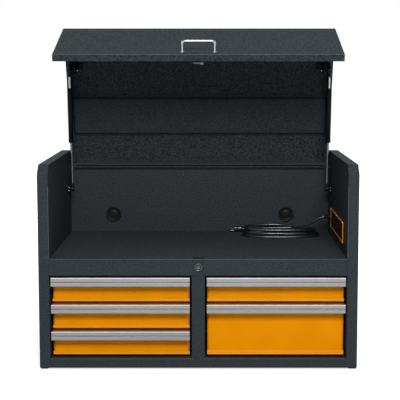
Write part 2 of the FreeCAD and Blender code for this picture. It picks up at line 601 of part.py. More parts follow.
def gas_struts():
    """Two gas struts: the cases hang from the lid's studs, and the rods slide in them."""
    cases = Piece("strut_cylinders", strut_place)
    rods = Piece("strut_rods", strut_place)
    tail = "(-strut_neck - strut_case_length)"
    for side, middle in both(STRUT_X):
        across = (f"{middle} - strut_eye_length/2", f"{middle} + strut_eye_length/2")
        axis = (middle, PLAIN)
        cases.rod("Z", axis, ("-strut_neck", "-strut_eye_radius/2"), "strut_neck_radius")
        cases.rod("X", (PLAIN, PLAIN), across, "strut_eye_radius")
        cases.rod("Z", axis, (tail, "-strut_neck"), "strut_case_radius")
        guide = (f"{tail} - overrun", "-strut_neck - strut_cap")
        cases.rod("Z", axis, guide, "strut_rod_radius + strut_rod_fit", cut=True)
        eye = (f"{across[0]} - overrun", f"{across[1]} + overrun")
        cases.rod("X", (PLAIN, PLAIN), eye, "stud_radius + stud_fit", cut=True)
        rods.rod("Z", axis, (f"-{STRUT_LENGTH}", f"{tail} + strut_guide"), "strut_rod_radius")
        rods.rod("X", (PLAIN, f"-{STRUT_LENGTH}"), across, "strut_eye_radius")


def strut_mounts():
    """Studs that hold the struts: a plate and peg on each side wall, a bracket and stud on the lid."""
    walls = Piece("strut_wall_mounts")
    foot = ("depth - strut_foot_inset", STRUT_FOOT_Z)
    for side, wall in both(INNER):
        walls.rod("X", foot, span(-side, wall, PLAIN, "wall_plate"), "wall_plate_radius")
        peg = span(-side, wall, "wall_plate", f"{INNER} - {STUD_OUTER} - stud_gap")
        walls.rod("X", foot, peg, "stud_radius")
    brackets = Piece("strut_lid_mounts", lid_place)
    along = ("-strut_reach - bracket_length/2", "-strut_reach + bracket_length/2")
    under = f"({LID_TOP} - sheet)"
    for side, stud in both(f"{STUD_INNER} - bracket_offset"):
        plate = span(side, stud, PLAIN, "bracket_plate")
        brackets.block(plate, along, (f"{STRUT_Z} - stud_nut_radius - bracket_tail", under))
        base = span(-side, stud, PLAIN, "bracket_base")
        brackets.block(base, along, (f"{under} - bracket_plate", under))
        place = ("-strut_reach", STRUT_Z)
        brackets.rod("X", place, span(-side, stud, PLAIN, "stud_nut"), "stud_nut_radius")
        reach = "bracket_offset + strut_eye_length + stud_end"
        spacer = span(side, stud, "bracket_plate", "bracket_offset - stud_gap")
        brackets.rod("X", place, spacer, "spacer_radius")
        brackets.rod("X", place, span(side, stud, "bracket_plate", reach), "stud_radius")


def channel(side, wall, near, far, web_near, half):
    """Outline of a slide member: a web and two flanges, measured from the wall that it faces."""
    def across(distance):
        return f"{wall} + {side}*({distance})"
    web_far = f"{web_near} + slide_sheet"
    flange = f"({half} - slide_sheet)"
    if web_near == near:
        return [
            (across(near), f"-{half}"), (across(far), f"-{half}"), (across(far), f"-{flange}"),
            (across(web_far), f"-{flange}"), (across(web_far), flange), (across(far), flange),
            (across(far), half), (across(near), half),
        ]
    if far == "slide_width":
        web_in = "(slide_width - slide_sheet)"
        return [
            (across(far), f"-{half}"), (across(near), f"-{half}"), (across(near), f"-{flange}"),
            (across(web_in), f"-{flange}"), (across(web_in), flange), (across(near), flange),
            (across(near), half), (across(far), half),
        ]
    return [
        (across(near), f"-{half}"), (across(far), f"-{half}"), (across(far), f"-{flange}"),
        (across(web_far), f"-{flange}"), (across(web_far), flange), (across(far), flange),
        (across(far), half), (across(near), half), (across(near), flange),
        (across(web_near), flange), (across(web_near), f"-{flange}"), (across(near), f"-{flange}"),
    ]


def slide_member(piece, side, wall, middle, sort):
    """Draw one member of a slide out along the drawer's travel."""
    near, far, web, half = {
        "outer": (PLAIN, "outer_flange", PLAIN, "(slide_height/2)"),
        "mid": ("mid_near", "outer_flange", "mid_web", "(slide_height/2 - mid_drop)"),
        "inner": ("inner_near", "slide_width", "slide_width", "(slide_height/2 - inner_drop)"),
    }[sort]
    points = [(x, f"{middle} + {z}") for x, z in channel(side, wall, near, far, web, half)]
    start = f"({FACE_BACK} + slide_start)"
    piece.outline("XZ", points, (start, f"{BACK} - slide_back_gap"))


def drawer(name, bank, low, high, outers):
    """A drawer between two heights: its box, face and handle, and its slides on both sides."""
    near, far = ("divider_width/2", INNER)
    left, right = (near, far) if bank > 0 else (f"-{far}", f"-{near}")
    box_low, box_high = f"({low} + box_lift)", f"({high} - box_drop)"
    middle = f"(({box_low} + {box_high})/2)"
    sides = (f"{left} + slide_width", f"{right} - slide_width")
    long = (FACE_BACK, f"{BACK} - box_back_gap")
    box = Piece(f"{name}_box")
    box.block(sides, long, (box_low, box_high))
    hollow_x = (f"{sides[0]} + box_sheet", f"{sides[1]} - box_sheet")
    hollow_y = (f"{long[0]} + box_sheet", f"{long[1]} - box_sheet")
    box.block(hollow_x, hollow_y, (f"{box_low} + box_sheet", f"{box_high} + overrun"), cut=True)
    for side, wall in ((1, sides[0]), (-1, sides[1])):
        hem_z = (f"{box_high} - box_sheet", box_high)
        box.block(span(side, wall, "box_sheet", "box_hem"), hollow_y, hem_z)
    drawer_face(name, (f"{left} + drawer_gap", f"{right} - drawer_gap"), low, high)
    overhang = "drawer_gap - handle_over"
    drawer_handle(name, (f"{left} + {overhang}", f"{right} - ({overhang})"), high)
    inner = Piece(f"{name}_slide_inner")
    mid = Piece(f"{name}_slide_mid")
    for side, wall in ((1, left), (-1, right)):
        slide_member(outers, side, wall, middle, "outer")
        slide_member(mid, side, wall, middle, "mid")
        slide_member(inner, side, wall, middle, "inner")


def drawer_face(name, across, low, high):
    """Pressed face: a pan with rolled lower and side edges, turned in behind against the box."""
    face = Piece(f"{name}_front")
    skin = face.block(across, ("face_setback", FACE_BACK), (low, high))
    doc.recompute()
    rolled = []
    for index, edge in enumerate(skin.Shape.Edges, 1):
        box = edge.BoundBox
        on_front = box.YMax < number("face_setback + overrun")
        below_top = box.ZMin < number(f"{high} - overrun")
        if on_front and below_top:
            rolled.append(f"Edge{index}")
    bend = face.body.newObject("PartDesign::Fillet", "Roll")
    bend.Base = (skin, rolled)
    bend.setExpression("Radius", bound("face_bend"))
    doc.recompute()
    rear = max(range(len(bend.Shape.Faces)), key=lambda index: bend.Shape.Faces[index].CenterOfMass.y)
    hollow = face.body.newObject("PartDesign::Thickness", "Skin")
    hollow.Base = (bend, [f"Face{rear + 1}"])
    hollow.Reversed = True
    hollow.setExpression("Value", bound("box_sheet"))
    rear = (f"{FACE_BACK} - box_sheet", FACE_BACK)
    left, right = across
    face.block((left, f"{left} + face_return"), rear, (low, high))
    face.block((f"{right} - face_return", right), rear, (low, high))
    face.block(across, rear, (low, f"{low} + face_return"))
    face.block(across, rear, (f"{high} - face_return", high))


def drawer_handle(name, across, high):
    """Full-width extruded pull: a foot on the face, a top plate, and a front lip that curls under."""
    handle = Piece(f"{name}_handle")
    front, back = HANDLE_FRONT, "face_setback"
    low = f"({high} - handle_height)"
    handle.outline("YZ", [
        (f"{front} + handle_plate/2", high),
        (back, high),
        (back, f"{high} - handle_foot"),
        (f"{back} - handle_plate", f"{high} - handle_foot"),
        (f"{back} - handle_plate", f"{high} - handle_plate"),
        (f"{front} + handle_plate", f"{high} - handle_plate"),
        (f"{front} + handle_plate", f"{low} + handle_plate"),
        (f"{front} + handle_curl - handle_plate", f"{low} + handle_plate"),
        (f"{front} + handle_curl - handle_plate", f"{low} + handle_curl_rise"),
        (f"{front} + handle_curl", f"{low} + handle_curl_rise"),
        (f"{front} + handle_curl", low),
        (f"{front} + handle_plate/2", low),
        (front, f"{low} + handle_plate/2"),
        (front, f"{high} - handle_plate/2"),
    ], across)
    groove = (f"{across[0]} - overrun", f"{across[1]} + overrun")
    handle.rod("X", (front, f"{high} - handle_height/2"), groove, "handle_groove", cut=True)


def drawers():
    """Three small drawers on the left, and a small one over a deep one on the right."""
    outers = Piece("slide_outer_members")
    top = f"({RAIL_HIGH} - drawer_top_gap)"
    lows = [f"({top} - {FACE_HEIGHT} - {level}*{DRAWER_PITCH})" for level in range(3)]
    highs = [f"({top} - {level}*{DRAWER_PITCH})" for level in range(3)]
    for level, name in enumerate(("left_top_drawer", "left_middle_drawer", "left_bottom_drawer")):
        drawer(name, -1, lows[level], highs[level], outers)
    drawer("right_top_drawer", 1, lows[0], highs[0], outers)
    drawer("right_deep_drawer", 1, lows[2], highs[1], outers)


def power_strip():
    """Power strip let into the right wall: housing with strain relief, bright trim, and outlets."""
    housing = Piece("power_strip_housing")
    face = f"({INNER} - strip_proud + strip_face_drop)"
    behind = f"({INNER} + sheet)"
    window_y = (f"{STRIP_FRONT} + strip_trim", f"{STRIP_BACK} - strip_trim")
    window_z = (f"{STRIP_LOW} + strip_trim", f"{STRIP_HIGH} - strip_trim")
    housing.block((face, behind), window_y, window_z)
    body_z = (f"{STRIP_LOW} + strip_margin", f"{STRIP_HIGH} - strip_margin")
    deep = (behind, "width/2 - sheet - strip_wall_gap")
    housing.block(deep, (f"{STRIP_FRONT} + strip_margin", f"{STRIP_BACK} + strip_tail"), body_z)
    place = (RELIEF_Y, RELIEF_Z)
    housing.rod("X", place, (f"{INNER} - strip_proud", behind), "relief_radius")
    taper = (f"{INNER} - relief_reach", f"{INNER} - strip_proud")
    housing.rod("X", place, taper, "relief_tip_radius", tip_radius="relief_radius")
    trim = Piece("power_strip_trim")
    proud = (f"{INNER} - strip_proud", INNER)
    trim.block(proud, (STRIP_FRONT, STRIP_BACK), (STRIP_LOW, STRIP_HIGH))
    trim.block((f"{proud[0]} - overrun", f"{INNER} + overrun"), window_y, window_z, cut=True)
    outlets = Piece("power_strip_outlets")
    window = "(strip_length - 2*strip_trim)"
    for index in range(int(SIZES["outlet_count"])):
        middle = f"({STRIP_FRONT} + strip_trim + {window}*({index} + 1/2)/outlet_count)"
        level = f"(({STRIP_LOW} + {STRIP_HIGH})/2)"
        along = (f"{middle} - outlet_length/2", f"{middle} + outlet_length/2")
        up = (f"{level} - outlet_height/2", f"{level} + outlet_height/2")
        outlets.block((f"{face} - outlet_proud", face), along, up)
        depth = (f"{face} - outlet_proud - overrun", f"{face} - outlet_proud + blade_slot_depth")
        for _, shift in both("blade_slot_spread/2"):
            slot = f"({middle} + {shift})"
            wide = (f"{slot} - blade_slot_width/2", f"{slot} + blade_slot_width/2")
            tall = (f"{level} - blade_slot_height/2", f"{level} + blade_slot_height/2")
            outlets.block(depth, wide, tall, cut=True)


# The power cord. It leaves the strain relief, drops onto a loose coil of oval
# loops on the till's floor, and ends in its plug at the coil's left end.
LEAD_ROUTE = [
    (443, 440, 434),
    (424, 443, 425),
    (407, 450.5, 411.5),
    (389, 461.5, 399),
    (368, 474.5, 391.8),
    (343, 488, 392.2),
]
LEAD_SHARE = 0.45
BOOT_END = "(plug_left + plug_length + plug_boot)"
PLUG_Y = f"({BACK} - coil_back)"
PLUG_Z = f"({FLOOR} + plug_height/2)"


def arc_between(start, heading, corner, end):
    """Arc from start to end that is tangent to the two runs that meet at the corner."""
    chord = end - start
    share = chord.Length/(2*heading)
    middle = (start + end)/2
    return Part.Arc(start, middle + (corner - middle)*(share/(1 + share)), end).toShape()


def biarc(start, leave, end, arrive):
    """Two arcs that join two points along given directions."""
    across = end - start
    along = leave + arrive
    spread = 2*(1 - leave.dot(arrive))
    if spread < 1e-9:
        reach = across.dot(across)/(2*across.dot(along))
    else:
        reach = (math.sqrt(across.dot(along)**2 + spread*across.dot(across)) - across.dot(along))/spread
    first = start + leave*reach
    second = end - arrive*reach
    joint = (first + second)/2
    return [arc_between(start, reach, first, joint), arc_between(joint, reach, second, end)]


def tube(edges, radius):
    """Round tube along a path that starts straight."""
    path = Part.Wire(edges)
    first = path.OrderedEdges[0]
    normal = first.tangentAt(first.FirstParameter)
    ring = Part.Wire([Part.makeCircle(radius, first.valueAt(first.FirstParameter), normal)])
    shell = Part.BRepOffsetAPI.MakePipeShell(path)
    shell.add(ring)
    shell.build()
    shell.makeSolid()
    return shell.shape()


def coil_path():
    """Places and directions along the coil: from the plug along the back wall, then climbing loops."""
    left, right = number("coil_left"), number("coil_right")
    back = number(PLUG_Y)
    inner = number(f"{BACK} - coil_inner_back")
    floor = number(f"{FLOOR} + cord_radius")
    climb = number("coil_climb")
    middle = (left + right)/2
    nodes = [((number(BOOT_END), back, number(PLUG_Z)), (1, 0, 0)), ((middle, back, floor), (1, 0, 0))]
    before = back
    for turn in range(int(SIZES["coil_turns"])):
        front_y = number("coil_front") + turn*number("coil_front_step")
        back_y = inner + turn*number("coil_back_step")
        ends = turn*number("coil_end_step")
        level = floor + turn*climb
        half_way = level - climb/2 if turn else level
        nodes.append(((right - ends, (front_y + before)/2, half_way), (0, -1, 0)))
        nodes.append(((middle, front_y, level), (-1, 0, 0)))
        nodes.append(((left + ends, (front_y + back_y)/2, level), (0, 1, 0)))
        nodes.append(((middle, back_y, level), (1, 0, 0)))
        before = back_y
    return [(FreeCAD.Vector(*place), FreeCAD.Vector(*way)) for place, way in nodes]


def cord_tube(label, edges):
    """Add a length of cord and print what it measures."""
    radius = number("cord_radius")
    piece = doc.addObject("Part::Feature", label)
    piece.Shape = tube(edges, radius)
    chest_place(piece)
    PIECES.append(piece)
    length = sum(edge.Length for edge in edges)
    print(label, "length", round(length, 1), "tube", round(piece.Shape.Volume/(math.pi*radius**2), 1))
    print(label, "tightest radius", round(tightest(edges), 1))


def power_cord():
    """The cord's coil, its free lead up to the strain relief, and its plug."""
    nodes = coil_path()
    start, ahead = nodes[0]
    route = lead_route()
    last = route[-1]
    arriving = (route[-2] - last).normalize()
    nodes[0] = (start + ahead*number("coil_end"), ahead)
    nodes.append((last - arriving*number("coil_end"), arriving))
    edges = [Part.LineSegment(start, nodes[0][0]).toShape()]
    for (place, way), (target, arrive) in zip(nodes, nodes[1:]):
        edges += biarc(place, way, target, arrive)
    edges.append(Part.LineSegment(nodes[-1][0], last).toShape())
    cord_tube("cord_coil", edges)
    print("coil least gap", round(least_gap(edges, number("cord_radius")), 2))
    cord_tube("cord_lead", rounded(route))
    plug = Piece("cord_plug")
    boot = "(plug_left + plug_length)"
    deep = (f"{PLUG_Y} - plug_depth/2", f"{PLUG_Y} + plug_depth/2")
    tall = (f"{PLUG_Z} - plug_height/2", f"{PLUG_Z} + plug_height/2")
    plug.block(("plug_left", boot), deep, tall)
    taper = "cord_radius + boot_lip"
    plug.rod("X", (PLUG_Y, PLUG_Z), (boot, BOOT_END), "plug_boot_radius", tip_radius=taper)
    for _, shift in both("prong_spread/2"):
        wide = (f"{PLUG_Y} + {shift} - prong_thickness/2", f"{PLUG_Y} + {shift} + prong_thickness/2")
        high = (f"{PLUG_Z} - prong_width/2", f"{PLUG_Z} + prong_width/2")
        plug.block(("plug_left - prong_length", "plug_left"), wide, high)


def lead_route():
    """The lead's points: from the strain relief, straight out of it and down to the coil."""
    exit_point = FreeCAD.Vector(number(f"{INNER} - relief_reach"), number(RELIEF_Y), number(RELIEF_Z))
    return [exit_point] + [FreeCAD.Vector(*place) for place in LEAD_ROUTE]


def rounded(points):
    """Straight runs through a route's points, with a tangent arc at each turn."""
    edges = []
    here = points[0]
    for before, corner, after in zip(points, points[1:], points[2:]):
        arriving, leaving = corner - before, after - corner
        half_turn = arriving.getAngle(leaving)/2
        reach = LEAD_SHARE*min(arriving.Length, leaving.Length)
        start = corner - arriving.normalize()*reach
        end = corner + leaving.normalize()*reach
        edges.append(Part.LineSegment(here, start).toShape())
        edges.append(arc_between(start, reach, corner, end))
        print("lead radius", round(reach/math.tan(half_turn), 1))
        here = end
    edges.append(Part.LineSegment(here, points[-1]).toShape())
    return edges


def tightest(edges):
    """Smallest radius among a path's arcs."""
    return min(edge.Curve.Radius for edge in edges if hasattr(edge.Curve, "Radius"))


def least_gap(edges, radius):
    """Least gap between stretches of a path that are not next to each other, on sampled points."""
    step = radius/2
    points = []
    for edge in edges:
        points += edge.discretize(max(2, int(edge.Length/step)))[1:]
    apart = int(6*radius/step)
    least = math.inf
    for index, point in enumerate(points):
        for other in points[index + apart::2]:
            least = min(least, point.distanceToPoint(other))
    return least - 2*radius


def check_document():
    """Stop if any object failed or any piece has no sound solid."""
    doc.recompute()
    for item in doc.Objects:
        if "Invalid" in item.State or "Error" in item.State:
            raise ValueError(f"{item.Label} failed: {item.State}")
    for piece in PIECES:
        if piece.Shape.isNull() or not piece.Shape.isValid() or not piece.Shape.Solids:
            raise ValueError(f"{piece.Label} has no sound solid")


def export():
    """Write each piece to its own file."""
    os.makedirs("parts", exist_ok=True)
    for piece in PIECES:
        piece.Shape.exportStep(f"parts/{piece.Label}.step")


side_shell("left_side_shell", -1)
side_shell("right_side_shell", 1)
side_liner("left_side_liner", -1)
side_liner("right_side_liner", 1)
back_panel()
cable_grommets()
base_sheets()
front_rails()
center_divider()
rubber_feet()
lock()
lid_hinge()
lid_shell()
lid_stiffener()
lid_pull()
lid_strike()
gas_struts()
strut_mounts()
drawers()
power_strip()
power_cord()
check_document()
export()
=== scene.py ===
import bpy
import bmesh
import json
import math
from mathutils import Matrix, Vector


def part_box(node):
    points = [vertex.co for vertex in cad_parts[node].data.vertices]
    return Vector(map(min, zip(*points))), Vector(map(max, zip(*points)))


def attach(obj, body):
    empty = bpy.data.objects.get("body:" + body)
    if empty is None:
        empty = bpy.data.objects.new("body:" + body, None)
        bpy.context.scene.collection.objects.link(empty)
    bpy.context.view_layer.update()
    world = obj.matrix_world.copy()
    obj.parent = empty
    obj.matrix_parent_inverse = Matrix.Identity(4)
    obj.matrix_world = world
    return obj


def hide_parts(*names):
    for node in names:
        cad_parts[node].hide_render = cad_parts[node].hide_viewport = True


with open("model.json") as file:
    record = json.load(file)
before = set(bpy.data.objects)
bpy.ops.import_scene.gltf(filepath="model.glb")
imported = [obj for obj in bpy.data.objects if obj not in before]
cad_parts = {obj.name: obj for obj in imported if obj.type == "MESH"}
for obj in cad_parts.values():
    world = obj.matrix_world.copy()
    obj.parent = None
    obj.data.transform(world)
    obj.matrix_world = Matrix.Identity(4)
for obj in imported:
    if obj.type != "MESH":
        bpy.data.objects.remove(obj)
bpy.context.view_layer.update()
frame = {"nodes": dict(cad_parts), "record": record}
FULL_TURN = 2*math.pi
SIDES = {"left": -1, "right": 1}
FORWARD = (0, -1, 0)

# Sizes are in metres and angles in radians. The chest's own drawing has Y zero on
# the front of its rails, and this is where the row frame has that plane.
CHEST_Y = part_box("front_top_rail")[0][1]


def from_chest(x, y, z):
    """A point of the chest's drawing in the row frame."""
    return Vector((x, y + CHEST_Y, z))


def middle_of(node):
    """The middle of a CAD node's box, in the row frame."""
    low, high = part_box(node)
    return (Vector(low) + Vector(high))/2


# The camera's place is in the chest's drawing. Its lens and sensor are in millimetres.
CAMERA_AT = (0.0382, -3.0821, 1.0099)
CAMERA_PITCH = 0.0950
CAMERA_LENS = 86.68
CAMERA_SENSOR = 36.0
CAMERA_SHIFT = (-0.025, -0.12)


def add_camera():
    """The photograph's viewpoint, level from side to side and tipped down a little."""
    data = bpy.data.cameras.new("camera")
    data.lens = CAMERA_LENS
    data.sensor_width = CAMERA_SENSOR
    data.shift_x, data.shift_y = CAMERA_SHIFT
    camera = bpy.data.objects.new("camera", data)
    camera.location = from_chest(*CAMERA_AT)
    camera.rotation_euler = (math.pi/2 - CAMERA_PITCH, 0, 0)
    bpy.context.scene.collection.objects.link(camera)
    bpy.context.scene.camera = camera


# The cord's route is in the chest's drawing: out of the strain relief, round the
# coil from its top turn down, and along the till's floor to the plug.
CORD_DIAMETER = 0.0082
CORD_ROUNDNESS = 6
CORD_SMOOTHNESS = 10
CORD_ORDER = 3
CORD_EXIT = (0.463, 0.440, 0.434)
LEAD_ROUTE = [
    (0.445, 0.4405, 0.4305),
    (0.429, 0.4445, 0.4195),
    (0.411, 0.452, 0.4065),
    (0.391, 0.462, 0.3965),
    (0.368, 0.4745, 0.3915),
    (0.343, 0.488, 0.3922),
]
RUN_TO_PLUG = [
    (0.262, 0.507, 0.3703),
    (0.228, 0.507, 0.3716),
    (0.204, 0.507, 0.3765),
    (0.192, 0.507, 0.377),
]
CORD_END = (0.183, 0.507, 0.377)
COIL_MIDDLE = 0.298
COIL_WALL = 0.507
COIL_FLOOR = 0.3701
COIL_CLIMB = 0.0116
COIL_TURNS = [
    {"left": (0.158, 0.444), "right": (0.442, 0.441), "front": 0.371, "back": 0.495},
    {"left": (0.162, 0.442), "right": (0.4335, 0.438), "front": 0.377, "back": 0.499},
    {"left": (0.166, 0.446), "right": (0.426, 0.446), "front": 0.382, "back": 0.505},
]
QUARTER_POINTS = 4
SPLINE_REACH = 1.012
COIL_FULLNESS = 0.8


def rounded(angle, power):
    """A point at an angle on a unit outline between a square, at a low power, and a circle, at one."""
    across, along = math.cos(angle), math.sin(angle)
    return math.copysign(abs(across)**power, across), math.copysign(abs(along)**power, along)


def quarter(end, side, start, low, high):
    """Control points of a quarter of a loop, from a start angle, ending before the next quarter's first."""
    half_wide, half_deep = abs(end[0] - COIL_MIDDLE), abs(side - end[1])
    points = []
    for step in range(QUARTER_POINTS):
        share = step/QUARTER_POINTS
        across, along = rounded(start + share*math.pi/2, COIL_FULLNESS)
        x = COIL_MIDDLE + half_wide*SPLINE_REACH*across
        y = end[1] + half_deep*SPLINE_REACH*along
        points.append((x, y, low + share*(high - low)))
    return points


def coil_points():
    """Control points of the coil's turns, from the top one down to the floor."""
    points = []
    for number in reversed(range(len(COIL_TURNS))):
        turn = COIL_TURNS[number]
        level = COIL_FLOOR + number*COIL_CLIMB
        below, next_back = level - COIL_CLIMB, COIL_TURNS[number - 1]["back"]
        if number == 0:
            below, next_back = level, COIL_WALL
        halfway = (level + below)/2
        points += quarter(turn["left"], turn["back"], math.pi/2, level, level)
        points += quarter(turn["left"], turn["front"], math.pi, level, level)
        points += quarter(turn["right"], turn["front"], 3*math.pi/2, level, halfway)
        points += quarter(turn["right"], next_back, 0, halfway, below)
    points.append((COIL_MIDDLE, COIL_WALL, COIL_FLOOR))
    return points


def add_cord():
    """One smooth cord from the strain relief, down over the coil and out to its plug."""
    data = bpy.data.curves.new("power_cord", "CURVE")
    data.dimensions = "3D"
    # The radius is set at each point, in metres, so the bevel's own depth is one.
    data.bevel_depth = 1.0
    data.bevel_resolution = CORD_ROUNDNESS
    data.resolution_u = CORD_SMOOTHNESS
    route = [CORD_EXIT, *LEAD_ROUTE, *coil_points(), *RUN_TO_PLUG, CORD_END]
    spline = data.splines.new("NURBS")
    spline.points.add(len(route) - 1)
    for point, spot in zip(spline.points, route):
        point.co = (*from_chest(*spot), 1)
        point.radius = CORD_DIAMETER/2
    spline.order_u = CORD_ORDER
    spline.use_endpoint_u = True
    piece = bpy.data.objects.new("power_cord", data)
    bpy.context.scene.collection.objects.link(piece)
    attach(piece, "chest")
    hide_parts("cord_lead", "cord_coil")
    return piece


# The shader's own gloss, where a material sets no other.
PLAIN_GLOSS = 0.5


def new_material(name, colour, metallic, roughness, gloss=PLAIN_GLOSS):
    """A Principled material with its plain values set on the shader's own sockets."""
    material = bpy.data.materials.new(name)
    material.use_nodes = True
    shader = material.node_tree.nodes["Principled BSDF"]
    shader.inputs["Base Color"].default_value = (*colour, 1)
    shader.inputs["Metallic"].default_value = metallic
    shader.inputs["Roughness"].default_value = roughness
    shader.inputs["Specular IOR Level"].default_value = gloss
    return material


def feed(tree, value, socket):
    """Carry a value to a socket of the material's shader."""
    tree.links.new(value, tree.nodes["Principled BSDF"].inputs[socket])


def place(tree, stretch=(1, 1, 1)):
    """A piece's own coordinates, in metres, stretched along an axis for a brushed grain."""
    coordinates = tree.nodes.new("ShaderNodeTexCoord")
    mapping = tree.nodes.new("ShaderNodeMapping")
    mapping.inputs["Scale"].default_value = stretch
    tree.links.new(coordinates.outputs["Object"], mapping.inputs["Vector"])
    return mapping.outputs["Vector"]


def noise(tree, where, per_metre, detail, roughness):
    """Smooth noise, with its fineness as features per metre."""
    texture = tree.nodes.new("ShaderNodeTexNoise")
    texture.inputs["Scale"].default_value = per_metre
    texture.inputs["Detail"].default_value = detail
    texture.inputs["Roughness"].default_value = roughness
    tree.links.new(where, texture.inputs["Vector"])
    return texture.outputs["Fac"]


def ranged(tree, value, low, high, start=0.3, stop=0.7):
    """A value between a start and a stop, spread over a range from low to high."""
    scale = tree.nodes.new("ShaderNodeMapRange")
    scale.inputs["From Min"].default_value = start
    scale.inputs["From Max"].default_value = stop
    scale.inputs["To Min"].default_value = low
    scale.inputs["To Max"].default_value = high
    tree.links.new(value, scale.inputs["Value"])
    return scale.outputs["Result"]


def shaded(tree, value, colour, dark, light, start=0.32, stop=0.68):
    """A value as a blend of two shades of a colour, each a share of it."""
    ramp = tree.nodes.new("ShaderNodeValToRGB")
    for element, position, share in zip(ramp.color_ramp.elements, (start, stop), (dark, light)):
        element.position = position
        element.color = (*[min(1, channel*share) for channel in colour], 1)
    tree.links.new(value, ramp.inputs["Fac"])
    return ramp.outputs["Color"]


def combined(tree, operation, first, second):
    """Two values worked into one."""
    maths = tree.nodes.new("ShaderNodeMath")
    maths.operation = operation
    tree.links.new(first, maths.inputs[0])
    tree.links.new(second, maths.inputs[1])
    return maths.outputs["Value"]


def bump(tree, height, strength, depth):
    """Surface relief from a height, in metres deep."""
    relief = tree.nodes.new("ShaderNodeBump")
    relief.inputs["Strength"].default_value = strength
    relief.inputs["Distance"].default_value = depth
    tree.links.new(height, relief.inputs["Height"])
    feed(tree, relief.outputs["Normal"], "Normal")


def powder_coat(name, per_metre, dark, light):
    """Charcoal powder coat with an orange-peel grain of a given fineness and contrast."""
    colour = (0.0252, 0.0302, 0.0343)
    material = new_material(name, colour, metallic=0, roughness=0.6, gloss=0.015)
    tree = material.node_tree
    where = place(tree)
    grain = noise(tree, where, per_metre, detail=3, roughness=0.7)
    pits = noise(tree, where, per_metre=900, detail=2, roughness=0.6)
    feed(tree, shaded(tree, grain, colour, dark, light, start=0.37, stop=0.63), "Base Color")
    feed(tree, ranged(tree, pits, low=0.52, high=0.7), "Roughness")
    bump(tree, grain, strength=0.30, depth=0.0005)
    return material


def satin_paint(name, colour):
    """Satin paint, even, with a faint orange peel."""
    material = new_material(name, colour, metallic=0, roughness=0.3, gloss=0.02)
    tree = material.node_tree
    where = place(tree)
    peel = noise(tree, where, per_metre=260, detail=2, roughness=0.5)
    cloud = noise(tree, where, per_metre=9, detail=3, roughness=0.5)
    feed(tree, shaded(tree, cloud, colour, dark=0.95, light=1.04), "Base Color")
    feed(tree, ranged(tree, peel, low=0.27, high=0.36), "Roughness")
    bump(tree, peel, strength=0.12, depth=0.0003)
    return material


# How far a brushed grain is drawn out: its noise runs at this share of its fineness.
GRAIN_STRETCH = 0.003


def brushed(name, colour, roughness, along, dent):
    """Metal with a fine grain drawn out along one axis."""
    material = new_material(name, colour, metallic=1, roughness=roughness)
    tree = material.node_tree
    stretch = [GRAIN_STRETCH if axis == along else 1.0 for axis in "XYZ"]
    lines = noise(tree, place(tree, stretch), per_metre=1500, detail=3, roughness=0.6)
    cloud = noise(tree, place(tree), per_metre=30, detail=2, roughness=0.5)
    feed(tree, shaded(tree, lines, colour, dark=0.86, light=1.08), "Base Color")
    fine = ranged(tree, lines, low=roughness - 0.10, high=roughness + 0.10)
    broad = ranged(tree, cloud, low=0.92, high=1.08)
    feed(tree, combined(tree, "MULTIPLY", fine, broad), "Roughness")
    bump(tree, lines, strength=dent, depth=0.0001)
    return material


def polished(name, colour, roughness):
    """Plated metal with faint smears."""
    material = new_material(name, colour, metallic=1, roughness=roughness)
    tree = material.node_tree
    smear = noise(tree, place(tree), per_metre=60, detail=4, roughness=0.55)
    feed(tree, shaded(tree, smear, colour, dark=0.94, light=1.03), "Base Color")
    feed(tree, ranged(tree, smear, low=roughness - 0.04, high=roughness + 0.06), "Roughness")
    bump(tree, smear, strength=0.02, depth=0.0002)
    return material


def moulded(name, colour, roughness, per_metre=700, dent=0.25, gloss=0.12):
    """Moulded plastic or rubber with a fine pebbled skin."""
    material = new_material(name, colour, metallic=0, roughness=roughness, gloss=gloss)
    tree = material.node_tree
    where = place(tree)
    pebble = noise(tree, where, per_metre, detail=2, roughness=0.5)
    cloud = noise(tree, where, per_metre=25, detail=3, roughness=0.5)
    feed(tree, shaded(tree, cloud, colour, dark=0.85, light=1.2), "Base Color")
    feed(tree, ranged(tree, pebble, low=roughness - 0.07, high=roughness + 0.07), "Roughness")
    bump(tree, pebble, strength=dent, depth=0.0003)
    return material


